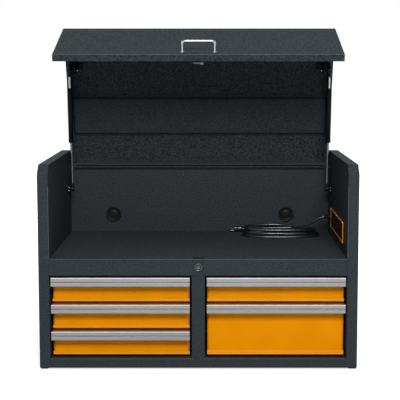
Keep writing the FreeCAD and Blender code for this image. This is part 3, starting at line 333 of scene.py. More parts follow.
def make_materials():
    """The materials by name: one for each slot of the record, and four more for single nodes and pieces."""
    looks = {
        "body_paint": (powder_coat, dict(per_metre=250, dark=0.55, light=1.50)),
        "lid_paint": (powder_coat, dict(per_metre=190, dark=0.42, light=1.62)),
        "orange_paint": (satin_paint, dict(colour=(0.610, 0.207, 0.0002))),
        "aluminium_trim": (brushed, dict(colour=(0.232, 0.233, 0.240), roughness=0.27, along="X", dent=0.08)),
        "chrome_wire": (polished, dict(colour=(0.30, 0.305, 0.315), roughness=0.14)),
        "zinc_steel": (brushed, dict(colour=(0.12, 0.125, 0.13), roughness=0.3, along="Y", dent=0.10)),
        "lock_chrome": (polished, dict(colour=(0.085, 0.09, 0.095), roughness=0.22)),
        "black_rubber": (moulded, dict(colour=(0.0040, 0.0043, 0.0050), roughness=0.6)),
        "cord_vinyl": (moulded, dict(
            colour=(0.0050, 0.0056, 0.0076), roughness=0.26, per_metre=500, dent=0.05, gloss=0.7)),
        "black_plastic": (moulded, dict(colour=(0.0050, 0.0054, 0.0062), roughness=0.42)),
        "orange_plastic": (moulded, dict(
            colour=(0.62, 0.20, 0.006), roughness=0.35, per_metre=400, dent=0.1)),
        "black_steel": (moulded, dict(
            colour=(0.0025, 0.0028, 0.0034), roughness=0.35, per_metre=300, dent=0.08, gloss=0.06)),
        "strut_rod_steel": (brushed, dict(colour=(0.13, 0.135, 0.145), roughness=0.22, along="Z", dent=0.10)),
        # Lighter grey paint for thin strips along folds: a painted highlight where light catches the edge.
        "worn_paint": (moulded, dict(colour=(0.060, 0.068, 0.075), roughness=0.5, per_metre=900, dent=0.1)),
        # Much brighter than the pulls' own aluminium: a painted highlight along their upper edges.
        "bright_aluminium": (polished, dict(colour=(0.60, 0.61, 0.63), roughness=0.2)),
        "label_white": (moulded, dict(colour=(0.86, 0.86, 0.85), roughness=0.5, per_metre=200, dent=0.05)),
    }
    return {name: make(name, **facts) for name, (make, facts) in looks.items()}


# Two nodes don't look like the rest of their slot.
NODE_LOOKS = {"hinge_pin": "black_steel", "lid_shell": "lid_paint"}
# A round's width is its node's own, or else its slot's, or else the fine one.
NODE_ROUNDS = {"front_top_rail": 0.0028, "lid_shell": 0.0011}
SLOT_ROUNDS = {
    "body_paint": 0.0015, "orange_paint": 0.0006, "aluminium_trim": 0.0016, "black_rubber": 0.0012,
    "black_plastic": 0.0006, "orange_plastic": 0.0009, "lock_chrome": 0.0005,
}
FINE_ROUND = 0.0004
ROUND_STEPS = 2
ROUNDED_EDGE = math.radians(35)
WELD_DISTANCE = 0.00001


def dress_nodes():
    """Give each CAD node its material and small rounds on its edges."""
    for part in frame["record"]["subparts"]:
        name, slot = part["node"], part["material_slot"]
        node = frame["nodes"][name]
        node.data.materials.clear()
        node.data.materials.append(MATERIALS[NODE_LOOKS.get(name, slot)])
        weld = node.modifiers.new("Weld", "WELD")
        weld.merge_threshold = WELD_DISTANCE
        rounds = node.modifiers.new("Rounds", "BEVEL")
        rounds.width = NODE_ROUNDS.get(name, SLOT_ROUNDS.get(slot, FINE_ROUND))
        rounds.segments = ROUND_STEPS
        rounds.limit_method = "ANGLE"
        rounds.angle_limit = ROUNDED_EDGE
        rounds.use_clamp_overlap = True
        rounds.harden_normals = True


SHARP_EDGE = math.radians(32)
# The record has no slot for the labels' paper.
PAPER = "label_white"


def finish_piece(name, shape, slot, body, look=None):
    """Turn a bmesh into a piece: smooth faces that look outward, its material, and the body it rides on."""
    bmesh.ops.recalc_face_normals(shape, faces=shape.faces)
    for edge in shape.edges:
        edge.smooth = len(edge.link_faces) == 2 and edge.calc_face_angle() < SHARP_EDGE
    for face in shape.faces:
        face.smooth = True
    mesh = bpy.data.meshes.new(name)
    shape.to_mesh(mesh)
    shape.free()
    mesh.materials.append(MATERIALS[look or slot])
    piece = bpy.data.objects.new(name, mesh)
    bpy.context.scene.collection.objects.link(piece)
    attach(piece, body)
    return piece


# An axis this close to X, as the share of it along X, has Y for its side.
CLOSE_TO_X = 0.9


def frame_along(axis):
    """An axis of length one, and two directions across it."""
    axis = Vector(axis).normalized()
    side = Vector((1, 0, 0)) if abs(axis.x) < CLOSE_TO_X else Vector((0, 1, 0))
    across = axis.cross(side).normalized()
    return axis, across, axis.cross(across)


def lathe(shape, base, axis, profile, steps, start=0.0, sweep=FULL_TURN):
    """Add a turned form to a shape, from pairs of radius and distance along the axis from the base."""
    axis, across, other = frame_along(axis)
    count = steps if sweep == FULL_TURN else steps + 1
    rings = []
    for radius, along in profile:
        middle = base + axis*along
        if radius == 0:
            rings.append([shape.verts.new(middle)])
            continue
        ring = []
        for step in range(count):
            angle = start + sweep*step/steps
            spoke = across*(radius*math.cos(angle)) + other*(radius*math.sin(angle))
            ring.append(shape.verts.new(middle + spoke))
        rings.append(ring)
    for low, high in zip(rings, rings[1:]):
        for step in range(steps):
            after = (step + 1) % count
            ends = (low, step), (low, after), (high, after), (high, step)
            corners = [ring[number % len(ring)] for ring, number in ends]
            # At a point on the axis two corners are the same one.
            shape.faces.new(list(dict.fromkeys(corners)))


def prism(shape, outline, start, run):
    """Add a solid to a shape: one outline of points, carried along a run."""
    low = [shape.verts.new(start + Vector(point)) for point in outline]
    high = [shape.verts.new(corner.co + Vector(run)) for corner in low]
    shape.faces.new(low)
    shape.faces.new(high)
    add_sides(shape, low, high)


def add_sides(shape, low, high):
    """Join two rings with the same number of points by faces all round."""
    for step in range(len(low)):
        after = (step + 1) % len(low)
        shape.faces.new((low[step], low[after], high[after], high[step]))


def add_turned(name, base, axis, profile, slot, body, steps):
    """A piece that is one turned form."""
    shape = bmesh.new()
    lathe(shape, base, axis, profile, steps)
    finish_piece(name, shape, slot, body)


def add_extruded(name, outline, start, run, slot, body, look=None):
    """A piece that is one outline carried along a run."""
    shape = bmesh.new()
    prism(shape, outline, start, run)
    finish_piece(name, shape, slot, body, look)


def across_x(pairs):
    """Pairs of Y and Z as the points of an outline."""
    return [(0, y, z) for y, z in pairs]


def across_y(pairs):
    """Pairs of X and Z as the points of an outline."""
    return [(x, 0, z) for x, z in pairs]


def rounded_outline(half_wide, half_tall, power, steps=32, middle=(0, 0)):
    """A closed outline between a rectangle, at a low power, and an ellipse, at one."""
    points = []
    for step in range(steps):
        across, up = rounded(FULL_TURN*step/steps, power)
        points.append((middle[0] + half_wide*across, middle[1] + half_tall*up))
    return points


def ribs(count, first, pitch, radius, taper, depth, marks):
    """The profile of a tapering boot's ribs. The marks say where a rib is up, starts down, and is down."""
    profile = []
    for rib in range(count):
        along = first + pitch*rib
        outer = radius - taper*rib
        profile += [
            (outer - depth, along), (outer, along + marks[0]),
            (outer, along + marks[1]), (outer - depth, along + marks[2]),
        ]
    return profile


DRAWERS = [
    "left_top_drawer", "left_middle_drawer", "left_bottom_drawer", "right_top_drawer", "right_deep_drawer",
]
PULL_INSET = 0.0006
# Pairs of Y and Z, from the pull's lower front corner.
PULL_EDGE = [
    (0.0001, 0.0268), (-0.0002, 0.0271), (-0.0003, 0.0283), (0, 0.0293), (0.0008, 0.0299),
    (0.0020, 0.0301), (0.0050, 0.0301), (0.0050, 0.0296), (0.0016, 0.0290),
]
# The groove's floor, drawn in darker metal as painted shade.
PULL_GROOVE_SHADE = [(0.0014, 0.0143), (0.0010, 0.0144), (0.0010, 0.0156), (0.0014, 0.0157)]


def add_pull_edges():
    """The rounded upper edge of each full-width pull, in brighter metal as a painted highlight, and the
    groove's floor in darker metal as painted shade.
    """
    for drawer in DRAWERS:
        low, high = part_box(f"{drawer}_handle")
        start = Vector(low) + Vector((PULL_INSET, 0, 0))
        run = (high[0] - low[0] - 2*PULL_INSET, 0, 0)
        # The rounded edge in brighter metal is a painted highlight.
        add_extruded(f"{drawer}_pull_edge", across_x(PULL_EDGE), start, run,
                     "aluminium_trim", drawer, look="bright_aluminium")
        # The groove's floor in darker metal is painted shade.
        add_extruded(f"{drawer}_pull_groove_shade", across_x(PULL_GROOVE_SHADE), start, run, "zinc_steel", drawer)


# A turned form's profile, here and below, is pairs of its radius and the distance along its axis.
EDGE_HIGHLIGHT_RADIUS = 0.0009
EDGE_HIGHLIGHT_TIP = [(0, 0), (0.6*EDGE_HIGHLIGHT_RADIUS, 0.0003), (EDGE_HIGHLIGHT_RADIUS, 0.0015)]
# Each painted edge highlight's body, its start in the chest's drawing, and its run.
EDGE_HIGHLIGHTS = {
    "rail": ("chest", (-0.4850, 0.0003, 0.3657), (0.9700, 0, 0)),
    "bottom_left": ("chest", (-0.4850, 0.0003, 0.0345), (0.4690, 0, 0)),
    "bottom_right": ("chest", (0.0160, 0.0003, 0.0345), (0.4690, 0, 0)),
    "wall_left": ("chest", (-0.4858, 0.0003, 0.3680), (0, 0, 0.2350)),
    "wall_right": ("chest", (0.4858, 0.0003, 0.3680), (0, 0, 0.2350)),
    "lid_fold": ("lid", (-0.4830, 0.1118, 1.0285), (0.9660, 0, 0)),
}


def add_painted_edge_highlights():
    """Painted highlights: a lighter line along folds, where light catches the edge."""
    for name, (body, start, run) in EDGE_HIGHLIGHTS.items():
        length = Vector(run).length
        profile = EDGE_HIGHLIGHT_TIP + [(radius, length - along) for radius, along in reversed(EDGE_HIGHLIGHT_TIP)]
        shape = bmesh.new()
        lathe(shape, from_chest(*start), run, profile, steps=10)
        # Each strip is lighter paint standing in for the light on the fold: a painted highlight.
        finish_piece(f"edge_highlight_strip_{name}", shape, "body_paint", body, look="worn_paint")


LIP_INSET = 0.0005
LIP_HEIGHT = 0.0085
DEEP_LIP_HEIGHT = 0.0135
LIP_FLARE = 0.42
# The lip sinks this far into the face at its top and at its foot.
LIP_SINK_TOP, LIP_SINK_FOOT = 0.0004, 0.0008
# The flaring part: shares of the flare, at shares of the lip's height.
LIP_CURVE = [(0.15, 0.84), (0.45, 0.55), (0.80, 0.26), (0.97, 0.10), (1.00, 0.02)]
# The curl under it: shares of the flare, at heights over the face's foot.
LIP_CURL = [(0.93, -0.0002), (0.75, -0.0005)]


def add_drawer_lips():
    """The rolled bottom edge of each drawer's face, which flares forward and curls under."""
    for drawer in DRAWERS:
        low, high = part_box(f"{drawer}_front")
        tall = DEEP_LIP_HEIGHT if drawer == "right_deep_drawer" else LIP_HEIGHT
        out = LIP_FLARE*tall
        section = [(LIP_SINK_TOP, tall)]
        section += [(-share*out, height*tall) for share, height in LIP_CURVE]
        section += [(-share*out, height) for share, height in LIP_CURL]
        section.append((LIP_SINK_FOOT, LIP_CURL[-1][1]))
        start = Vector(low) + Vector((LIP_INSET, 0, 0))
        run = (high[0] - low[0] - 2*LIP_INSET, 0, 0)
        add_extruded(f"{drawer}_face_roll", across_x(section), start, run, "orange_paint", drawer)


GROMMET_X = 0.3255
GROMMET_RIM = [
    (0.0282, -0.0012), (0.0283, 0.0006), (0.0276, 0.0019), (0.0262, 0.0026),
    (0.0246, 0.0024), (0.0222, 0.0012), (0.0208, 0.0004), (0.0203, -0.0012),
]
GROMMET_CAP = [
    (0.0192, -0.0012), (0.0192, 0.0006), (0.0186, 0.0014), (0.0176, 0.0016), (0.0166, 0.0009),
    (0.0158, 0.0008), (0.0146, 0.0014), (0.0085, 0.0021), (0, 0.0023),
]
NOTCH_SHIFT = Vector((0.0105, 0, -0.0105))
GROMMET_NOTCH = [(0.0028, 0.0012), (0.0031, 0.0021), (0.0026, 0.0026), (0.0018, 0.0022), (0, 0.0020)]


def add_grommets():
    """A rolled rim round each grommet and a domed cap inside it, with a finger notch in the cap."""
    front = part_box("cable_grommets")[0][1]
    level = middle_of("cable_grommets").z
    for side, sign in SIDES.items():
        base = Vector((sign*GROMMET_X, front, level))
        add_turned(f"grommet_rim_{side}", base, FORWARD, GROMMET_RIM, "black_rubber", "chest", steps=64)
        add_turned(f"grommet_cap_{side}", base, FORWARD, GROMMET_CAP, "black_plastic", "chest", steps=64)
        add_turned(f"grommet_notch_{side}", base + NOTCH_SHIFT, FORWARD, GROMMET_NOTCH,
                   "black_plastic", "chest", steps=24)


# The middle of the hinge's axis.
HINGE = middle_of("hinge_pin")
BARREL_RADIUS = 0.00455
KNUCKLE_LENGTH = 0.0127
KNUCKLE_GROOVE = 0.0003
HINGE_COLLAR_END = 0.4850


def add_hinge_barrel():
    """The piano hinge's curled knuckles, with a fine groove between each two and a collar at each end."""
    low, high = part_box("hinge_pin")
    length = high[0] - low[0]
    collar = HINGE_COLLAR_END - high[0]
    inner = BARREL_RADIUS - KNUCKLE_GROOVE
    starts = [number*KNUCKLE_LENGTH for number in range(round(length/KNUCKLE_LENGTH))]
    turns = [(-collar, 0), *[(start, start + KNUCKLE_LENGTH) for start in starts], (length, length + collar)]
    profile = [(0, -collar)]
    for start, stop in turns:
        profile += [
            (inner, start), (BARREL_RADIUS, start + KNUCKLE_GROOVE),
            (BARREL_RADIUS, stop - KNUCKLE_GROOVE),
        ]
    profile += [(inner, length + collar), (0, length + collar)]
    base = Vector((low[0], HINGE.y, HINGE.z))
    add_turned("hinge_barrel", base, (1, 0, 0), profile, "body_paint", "chest", steps=24)


SEAM_Y, SEAM_HALF = 0.5176, 0.4700
# Pairs of Y, from the seam's back, and Z.
SEAM_LIP = [(0, 0.6082), (-0.0040, 0.6090), (-0.0040, 0.6132), (0, 0.6140)]
# A dark strip under the lip, where its shadow falls: painted shadow.
SEAM_SHADOW = [(0, 0.6015), (-0.0008, 0.6019), (-0.0012, 0.6078), (0, 0.6082)]
END_PLATE_X, END_PLATE_Z = 0.4755, 0.6120
END_PLATE_THICKNESS = 0.0012
END_PLATE = rounded_outline(0.0070, 0.0095, power=0.3)


def add_back_seam():
    """The back panel's upper seam, with a dark strip under it as painted shadow, and a plate over the gap at
    each end of the hinge.
    """
    start, run = from_chest(-SEAM_HALF, SEAM_Y, 0), (2*SEAM_HALF, 0, 0)
    add_extruded("back_seam_lip", across_x(SEAM_LIP), start, run, "body_paint", "chest")
    add_extruded("back_seam_shadow", across_x(SEAM_SHADOW), start, run, "black_rubber", "chest")
    for side, sign in SIDES.items():
        middle = from_chest(sign*END_PLATE_X, SEAM_Y, END_PLATE_Z)
        add_extruded(f"hinge_end_plate_{side}", across_y(END_PLATE), middle, (0, -END_PLATE_THICKNESS, 0),
                     "body_paint", "chest")


LOCK_RING = [
    (0.0112, -0.0006), (0.0113, 0.0004), (0.0109, 0.0011),
    (0.0101, 0.0013), (0.0094, 0.0009), (0.0091, -0.0006),
]
LOCK_DISH = [(0.0092, 0.0002), (0.0084, 0.0003), (0.0078, 0.0001), (0.0074, 0.0002), (0.0070, -0.0002)]
LOCK_FACE = [
    (0.0062, -0.0006), (0.0062, 0.0003), (0.0057, 0.0008), (0.0050, 0.0009), (0.0046, 0.0004), (0, 0.0003),
]
# Half the width and height of each form on the plug's face, how far it stands out, and its slot.
KEYWAY = {
    "cover": (0.0017, 0.0036, 0.0009, "lock_chrome"),
    "slot": (0.0005, 0.0029, 0.0011, "black_plastic"),
}


def add_lock():
    """The lock's outer ring, its dark dished face, and the cover and slot of the keyway on its plug."""
    level = middle_of("lock_housing").z
    base = Vector((0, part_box("lock_housing")[0][1], level))
    face = Vector((0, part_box("lock_plug")[0][1], level))
    add_turned("lock_ring", base, FORWARD, LOCK_RING, "lock_chrome", "chest", steps=48)
    add_turned("lock_dish", base, FORWARD, LOCK_DISH, "black_plastic", "chest", steps=48)
    add_turned("lock_plug_face", face, FORWARD, LOCK_FACE, "lock_chrome", "lock", steps=40)
    for name, (half_wide, half_tall, proud, slot) in KEYWAY.items():
        outline = across_y(rounded_outline(half_wide, half_tall, power=0.6, steps=16))
        add_extruded(f"lock_key_{name}", outline, face, (0, -proud, 0), slot, "lock")


STRUT_X = 0.470
# The strut's top is a pair of Y and Z in the chest's drawing. Its foot lies this way and this far from it.
STRUT_TOP = (0.4020, 0.9730)
STRUT_WAY = Vector((0, 0.107205, -0.994237))
STRUT_LENGTH = 0.4386
CASE_RADIUS = 0.009
# Each label's middle and width round its case.
LABELS = {"left": (math.radians(-10), 0.76), "right": (math.radians(6), 0.50)}
LABEL_SHEET = [
    (CASE_RADIUS + 0.0001, 0.0225), (CASE_RADIUS + 0.0003, 0.0228),
    (CASE_RADIUS + 0.0003, 0.0632), (CASE_RADIUS + 0.0001, 0.0635),
]
ROD_COLLAR = [
    (0.0091, 0.2520), (0.0095, 0.2530), (0.0095, 0.2600),
    (0.0088, 0.2640), (0.0066, 0.2652), (0.0044, 0.2655),
]
TOP_RING = [
    (0.0048, 0), (0.0080, 0.0002), (0.0090, 0.0016), (0.0092, 0.0066),
    (0.0090, 0.0116), (0.0080, 0.0130), (0.0048, 0.0132),
]
TOP_NECK = [(0.0060, 0.0060), (0.0064, 0.0090), (0.0060, 0.0150), (0.0078, 0.0162)]
LOW_RING = [
    (0.0044, 0), (0.0078, 0.0002), (0.0088, 0.0014), (0.0090, 0.0064),
    (0.0088, 0.0114), (0.0078, 0.0126), (0.0044, 0.0128),
]
LOW_NECK = [(0.0062, 0.0060), (0.0066, 0.0100), (0.0060, 0.0190), (0.0042, 0.0210)]


def add_socket(name, eye, way, ring, neck, body):
    """A strut's moulded end: a ring round its stud, and a neck along the strut."""
    half = Vector((ring[-1][1]/2, 0, 0))
    shape = bmesh.new()
    lathe(shape, eye - half, (1, 0, 0), ring, steps=32)
    lathe(shape, eye, way, neck, steps=24)
    finish_piece(name, shape, "black_plastic", body)


def add_struts():
    """A blank white label on each strut's case, a collar where its rod enters, and a socket at each end."""
    for side, sign in SIDES.items():
        top = from_chest(sign*STRUT_X, *STRUT_TOP)
        foot = top + STRUT_WAY*STRUT_LENGTH
        middle, width = LABELS[side]
        label = bmesh.new()
        lathe(label, top, STRUT_WAY, LABEL_SHEET, steps=12, start=middle - width/2, sweep=width)
        finish_piece(f"strut_label_{side}", label, PAPER, "strut_cases")
        add_turned(f"strut_collar_{side}", top, STRUT_WAY, ROD_COLLAR, "black_steel", "strut_cases", steps=32)
        add_socket(f"strut_socket_top_{side}", top, STRUT_WAY, TOP_RING, TOP_NECK, "strut_cases")
        add_socket(f"strut_socket_low_{side}", foot, -STRUT_WAY, LOW_RING, LOW_NECK, "strut_rods")


# A screw's domed head and its recess: pairs of a share of its radius and a height.
SCREW_HEAD = [
    (1, -0.0004), (1, 0.0004), (0.92, 0.0011), (0.70, 0.0017), (0.42, 0.0020), (0.34, 0.0011), (0, 0.0010),
]
TRIM_SCREW_RADIUS = 0.0027
TRIM_HALF = 0.003
CAP_NUT_X = 0.4412
CAP_NUT = [
    (0.0046, -0.0006), (0.0047, 0.0008), (0.0043, 0.0022), (0.0032, 0.0034), (0.0017, 0.0041), (0, 0.0043),
]
LID_OPEN = math.radians(70)
# The brackets' screws are placed in the drawing of the shut lid, from its hinge.
BRACKET_SCREW_RADIUS = 0.0028
BRACKET_SCREW_X, BRACKET_SCREW_UP = 0.4300, 0.0508
BRACKET_SCREWS = {"low": -0.3850, "high": -0.3658}
# The stud's middle is a pair of Y and Z in the chest's drawing.
STUD_PLATE_X = 0.4825
STUD_MIDDLE = (0.449, 0.537)
STUD_SCREW_RADIUS = 0.0026
STUD_SCREW_CIRCLE = 0.0102
STUD_SCREWS = {"low": math.radians(215), "high": math.radians(145)}


def lid_turned(x, y, z):
    """A direction in the drawing of the shut lid, as the open lid has it."""
    across = y*math.cos(LID_OPEN) + z*math.sin(LID_OPEN)
    up = z*math.cos(LID_OPEN) - y*math.sin(LID_OPEN)
    return Vector((x, across, up))


def add_screw(name, base, axis, radius, slot, body):
    """A small domed screw head with a recess."""
    profile = [(share*radius, along) for share, along in SCREW_HEAD]
    add_turned(name, base, axis, profile, slot, body, steps=20)


def add_small_screws():
    """Screws of the strip's trim and of the wall studs, and the fixings of the lid's strut brackets."""
    low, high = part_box("power_strip_trim")
    rows = {"low": low[2] + TRIM_HALF, "high": high[2] - TRIM_HALF}
    columns = {"near": low[1] + TRIM_HALF, "middle": (low[1] + high[1])/2, "far": high[1] - TRIM_HALF}
    for row, z in rows.items():
        for column, y in columns.items():
            add_screw(f"trim_screw_{row}_{column}", Vector((low[0], y, z)), (-1, 0, 0),
                      TRIM_SCREW_RADIUS, "chrome_wire", "chest")
    for side, sign in SIDES.items():
        add_turned(f"bracket_cap_nut_{side}", from_chest(sign*CAP_NUT_X, *STRUT_TOP), (-sign, 0, 0), CAP_NUT,
                   "chrome_wire", "lid", steps=24)
        for level, along in BRACKET_SCREWS.items():
            spot = HINGE + lid_turned(sign*BRACKET_SCREW_X, along, BRACKET_SCREW_UP)
            add_screw(f"bracket_screw_{level}_{side}", spot, lid_turned(0, 0, -1),
                      BRACKET_SCREW_RADIUS, "black_steel", "lid")
        for level, angle in STUD_SCREWS.items():
            y = STUD_MIDDLE[0] + STUD_SCREW_CIRCLE*math.cos(angle)
            z = STUD_MIDDLE[1] + STUD_SCREW_CIRCLE*math.sin(angle)
            add_screw(f"stud_plate_screw_{level}_{side}", from_chest(sign*STUD_PLATE_X, y, z), (-sign, 0, 0),
                      STUD_SCREW_RADIUS, "chrome_wire", "chest")


OUTLET_COUNT = 5
OUTLET_HALF_DEPTH = 0.0004
OUTLET_EDGE, OUTLET_EDGE_STEPS = 0.0002, 2
BLADE_SHIFT = 0.00635
# The face's outline, with those of its two blade slots and its ground hole.
OUTLET_OUTLINES = [
    rounded_outline(0.0185, 0.0155, power=0.5),
    rounded_outline(0.0012, 0.0043, power=0.4, middle=(-BLADE_SHIFT, 0.0035)),
    rounded_outline(0.0012, 0.0036, power=0.4, middle=(BLADE_SHIFT, 0.0035)),
    rounded_outline(0.0026, 0.0026, power=1, middle=(0, -0.0075)),
]
# The face is drawn in X and Y, and its right and up are the row's Y and Z.
OUTLET_TURN = Matrix(((0, 0, -1), (1, 0, 0), (0, 1, 0))).to_4x4()


def outlet_mesh():
    """An outlet's face as a flat plate round the origin, with its slots and hole cut through."""
    data = bpy.data.curves.new("outline", "CURVE")
    data.dimensions = "2D"
    data.fill_mode = "BOTH"
    data.extrude = OUTLET_HALF_DEPTH
    data.bevel_depth = OUTLET_EDGE
    data.bevel_resolution = OUTLET_EDGE_STEPS
    for points in OUTLET_OUTLINES:
        spline = data.splines.new("POLY")
        spline.points.add(len(points) - 1)
        for point, (x, y) in zip(spline.points, points):
            point.co = (x, y, 0, 1)
        spline.use_cyclic_u = True
    drawn = bpy.data.objects.new("outline", data)
    bpy.context.scene.collection.objects.link(drawn)
    bpy.context.view_layer.update()
    mesh = bpy.data.meshes.new_from_object(drawn.evaluated_get(bpy.context.evaluated_depsgraph_get()))
    bpy.data.objects.remove(drawn)
    return mesh


def add_outlets():
    """Each outlet's rounded face, with its ground hole and blade slots cut through it."""
    low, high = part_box("power_strip_trim")
    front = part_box("power_strip_outlets")[0][0] - OUTLET_HALF_DEPTH
    level = (low[2] + high[2])/2
    window = high[1] - low[1] - 4*TRIM_HALF
    for index in range(OUTLET_COUNT):
        middle = low[1] + 2*TRIM_HALF + window*(index + 0.5)/OUTLET_COUNT
        mesh = outlet_mesh()
        mesh.transform(Matrix.Translation((front, middle, level)) @ OUTLET_TURN)
        shape = bmesh.new()
        shape.from_mesh(mesh)
        finish_piece(f"outlet_face_{index + 1}", shape, "black_plastic", "chest")


RELIEF_X = 0.4826
RELIEF_ROOT = [(0.0078, 0)]
RELIEF_RIBS = ribs(
    6, first=0.0015, pitch=0.0032, radius=0.0086, taper=0.00042, depth=0.0009, marks=(0.0004, 0.0015, 0.0020))
RELIEF_MOUTH = [(0.0052, 0.0212), (0.0043, 0.0224)]


def add_strain_relief():
    """The ribs of the moulded boot that carries the cord out of the strip."""
    profile = RELIEF_ROOT + RELIEF_RIBS + RELIEF_MOUTH
    base = from_chest(RELIEF_X, *CORD_EXIT[1:])
    add_turned("relief_ribs", base, (-1, 0, 0), profile, "black_rubber", "chest", steps=32)


PLUG = middle_of("cord_plug")
# The moulded body's sections: each one's X, and half its depth and height.
PLUG_SECTIONS = [
    (0.1290, 0.0098, 0.0092), (0.1294, 0.0108, 0.0102), (0.1312, 0.0113, 0.0106),
    (0.1360, 0.0112, 0.0105), (0.1400, 0.0100, 0.0095), (0.1470, 0.0092, 0.0088),
    (0.1530, 0.0094, 0.0089), (0.1575, 0.0088, 0.0083), (0.1592, 0.0072, 0.0070),
]
PLUG_FULLNESS, PLUG_STEPS = 0.62, 36
BOOT_X = 0.1590
BOOT_ROOT = [(0.0070, 0)]
BOOT_RIBS = ribs(
    5, first=0.0030, pitch=0.0040, radius=0.0067, taper=0.00036, depth=0.0010, marks=(0.0006, 0.0020, 0.0026))
BOOT_MOUTH = [(0.0047, 0.0236), (0.0042, 0.0242)]
PRONG_ROOT_X = 0.1296
BLADE_UP, BLADE_LENGTH, TIP_LENGTH = 0.0026, 0.0146, 0.0022
# Half the thickness and height of a blade, and of the tip where it tapers.
BLADE_HALVES, TIP_HALVES = (0.00075, 0.0032), (0.00035, 0.0024)
BLADE_OVERLAP = 0.0002
GROUND_DOWN = 0.0062
GROUND_PIN = [(0.0024, 0), (0.0024, 0.0130), (0.0019, 0.0155), (0.0008, 0.0164), (0, 0.0165)]


def rectangle(half_wide, half_tall):
    """The corners of a rectangle, as pairs."""
    signs = (-1, -1), (1, -1), (1, 1), (-1, 1)
    return [(across*half_wide, up*half_tall) for across, up in signs]


def add_plug_body():
    """The plug's waisted moulded body and its ribbed boot."""
    shape = bmesh.new()
    rings = []
    for x, half_deep, half_tall in PLUG_SECTIONS:
        middle = Vector((x, PLUG.y, PLUG.z))
        outline = across_x(rounded_outline(half_deep, half_tall, PLUG_FULLNESS, PLUG_STEPS))
        rings.append([shape.verts.new(middle + Vector(point)) for point in outline])
    for low, high in zip(rings, rings[1:]):
        add_sides(shape, low, high)
    shape.faces.new(rings[0])
    shape.faces.new(rings[-1])
    boot = BOOT_ROOT + BOOT_RIBS + BOOT_MOUTH
    lathe(shape, Vector((BOOT_X, PLUG.y, PLUG.z)), (1, 0, 0), boot, steps=32)
    piece = finish_piece("plug_body", shape, "cord_vinyl", "chest")
    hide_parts("cord_plug")
    return piece


def add_plug_blades():
    """The plug's two flat blades and its round ground pin."""
    shape = bmesh.new()
    root = Vector((PRONG_ROOT_X, PLUG.y, PLUG.z))
    for shift in (-BLADE_SHIFT, BLADE_SHIFT):
        start = root + Vector((0, shift, BLADE_UP))
        prism(shape, across_x(rectangle(*BLADE_HALVES)), start, (-BLADE_LENGTH, 0, 0))
        tip = start + Vector((BLADE_OVERLAP - BLADE_LENGTH, 0, 0))
        prism(shape, across_x(rectangle(*TIP_HALVES)), tip, (-TIP_LENGTH, 0, 0))
    lathe(shape, root - Vector((0, 0, GROUND_DOWN)), (-1, 0, 0), GROUND_PIN, steps=20)
    return finish_piece("plug_blades", shape, "zinc_steel", "chest")


FLOOR_REACH = 12.0
FLOOR_COLOUR = (0.80, 0.80, 0.80)
# The floor's own glow, as the camera sees it: this strong near the chest, and white further out.
FLOOR_GLOW = 0.42
GLOW_NEAR, GLOW_FAR = 1.3, 3.2
WORLD_FILL = 0.11
# Each lamp's place, target, size and power in watts.
LAMPS = {
    "front": ((0.3, -3.3, 2.7), (0, 0, 0.5), (1.7, 1.1), 170),
    "overhead": ((0, -0.6, 3.4), (0, 0, 0.6), (2.4, 1.6), 22),
    "rear_left": ((-2.6, 2.4, 2.3), (0, 0, 0.5), (1.8, 1.6), 80),
    "rear_right": ((2.6, 2.4, 2.3), (0, 0, 0.5), (1.8, 1.6), 80),
}


def seen_rays(tree):
    """One for rays that the camera, metal or glass sends out, and zero for light that only spreads."""
    path = tree.nodes.new("ShaderNodeLightPath")
    value = path.outputs["Is Camera Ray"]
    for kind in ("Is Glossy Ray", "Is Transmission Ray"):
        value = combined(tree, "MAXIMUM", value, path.outputs[kind])
    return value


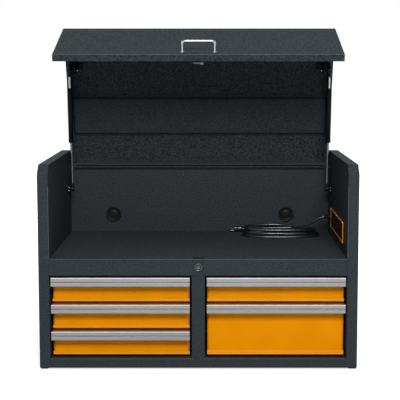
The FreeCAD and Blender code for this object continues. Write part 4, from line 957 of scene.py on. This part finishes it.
def add_stage():
    """A plain pale floor that fades to white away from the chest."""
    mesh = bpy.data.meshes.new("floor")
    corners = [(x, y, 0) for x, y in rectangle(FLOOR_REACH, FLOOR_REACH)]
    mesh.from_pydata(corners, [], [(0, 1, 2, 3)])
    floor = bpy.data.objects.new("floor", mesh)
    bpy.context.scene.collection.objects.link(floor)
    material = new_material("floor", FLOOR_COLOUR, metallic=0, roughness=0.9, gloss=0.05)
    tree = material.node_tree
    tree.nodes["Principled BSDF"].inputs["Emission Color"].default_value = (1, 1, 1, 1)
    distance = tree.nodes.new("ShaderNodeVectorMath")
    distance.operation = "LENGTH"
    tree.links.new(place(tree), distance.inputs[0])
    glow = ranged(tree, distance.outputs["Value"], low=FLOOR_GLOW, high=1, start=GLOW_NEAR, stop=GLOW_FAR)
    feed(tree, combined(tree, "MULTIPLY", seen_rays(tree), glow), "Emission Strength")
    mesh.materials.append(material)


def add_surroundings():
    """White surroundings for the camera, and softer light from all round on the object."""
    world = bpy.data.worlds.new("studio")
    bpy.context.scene.world = world
    world.use_nodes = True
    tree = world.node_tree
    tree.nodes.clear()
    output = tree.nodes.new("ShaderNodeOutputWorld")
    blend = tree.nodes.new("ShaderNodeMixShader")
    tree.links.new(seen_rays(tree), blend.inputs["Fac"])
    for socket, strength in ((1, WORLD_FILL), (2, 1.0)):
        white = tree.nodes.new("ShaderNodeBackground")
        white.inputs["Color"].default_value = (1, 1, 1, 1)
        white.inputs["Strength"].default_value = strength
        tree.links.new(white.outputs["Background"], blend.inputs[socket])
    tree.links.new(blend.outputs["Shader"], output.inputs["Surface"])


def add_lamps():
    """Four soft rectangular lamps: in front, overhead, and at both sides behind."""
    for name, (spot, target, size, power) in LAMPS.items():
        data = bpy.data.lights.new(name, "AREA")
        data.shape = "RECTANGLE"
        data.size, data.size_y = size
        data.energy = power
        lamp = bpy.data.objects.new(name, data)
        lamp.location = spot
        lamp.rotation_euler = (Vector(target) - Vector(spot)).to_track_quat("-Z", "Y").to_euler()
        bpy.context.scene.collection.objects.link(lamp)


add_camera()
cord = add_cord()
MATERIALS = make_materials()
cord.data.materials.append(MATERIALS["cord_vinyl"])
dress_nodes()
add_pull_edges()
add_painted_edge_highlights()
add_drawer_lips()
add_grommets()
add_hinge_barrel()
add_back_seam()
add_lock()
add_struts()
add_small_screws()
add_outlets()
add_strain_relief()
add_plug_body()
add_plug_blades()
add_stage()
add_surroundings()
add_lamps()
bpy.context.scene.view_settings.view_transform = "Standard"

bpy.context.view_layer.update()
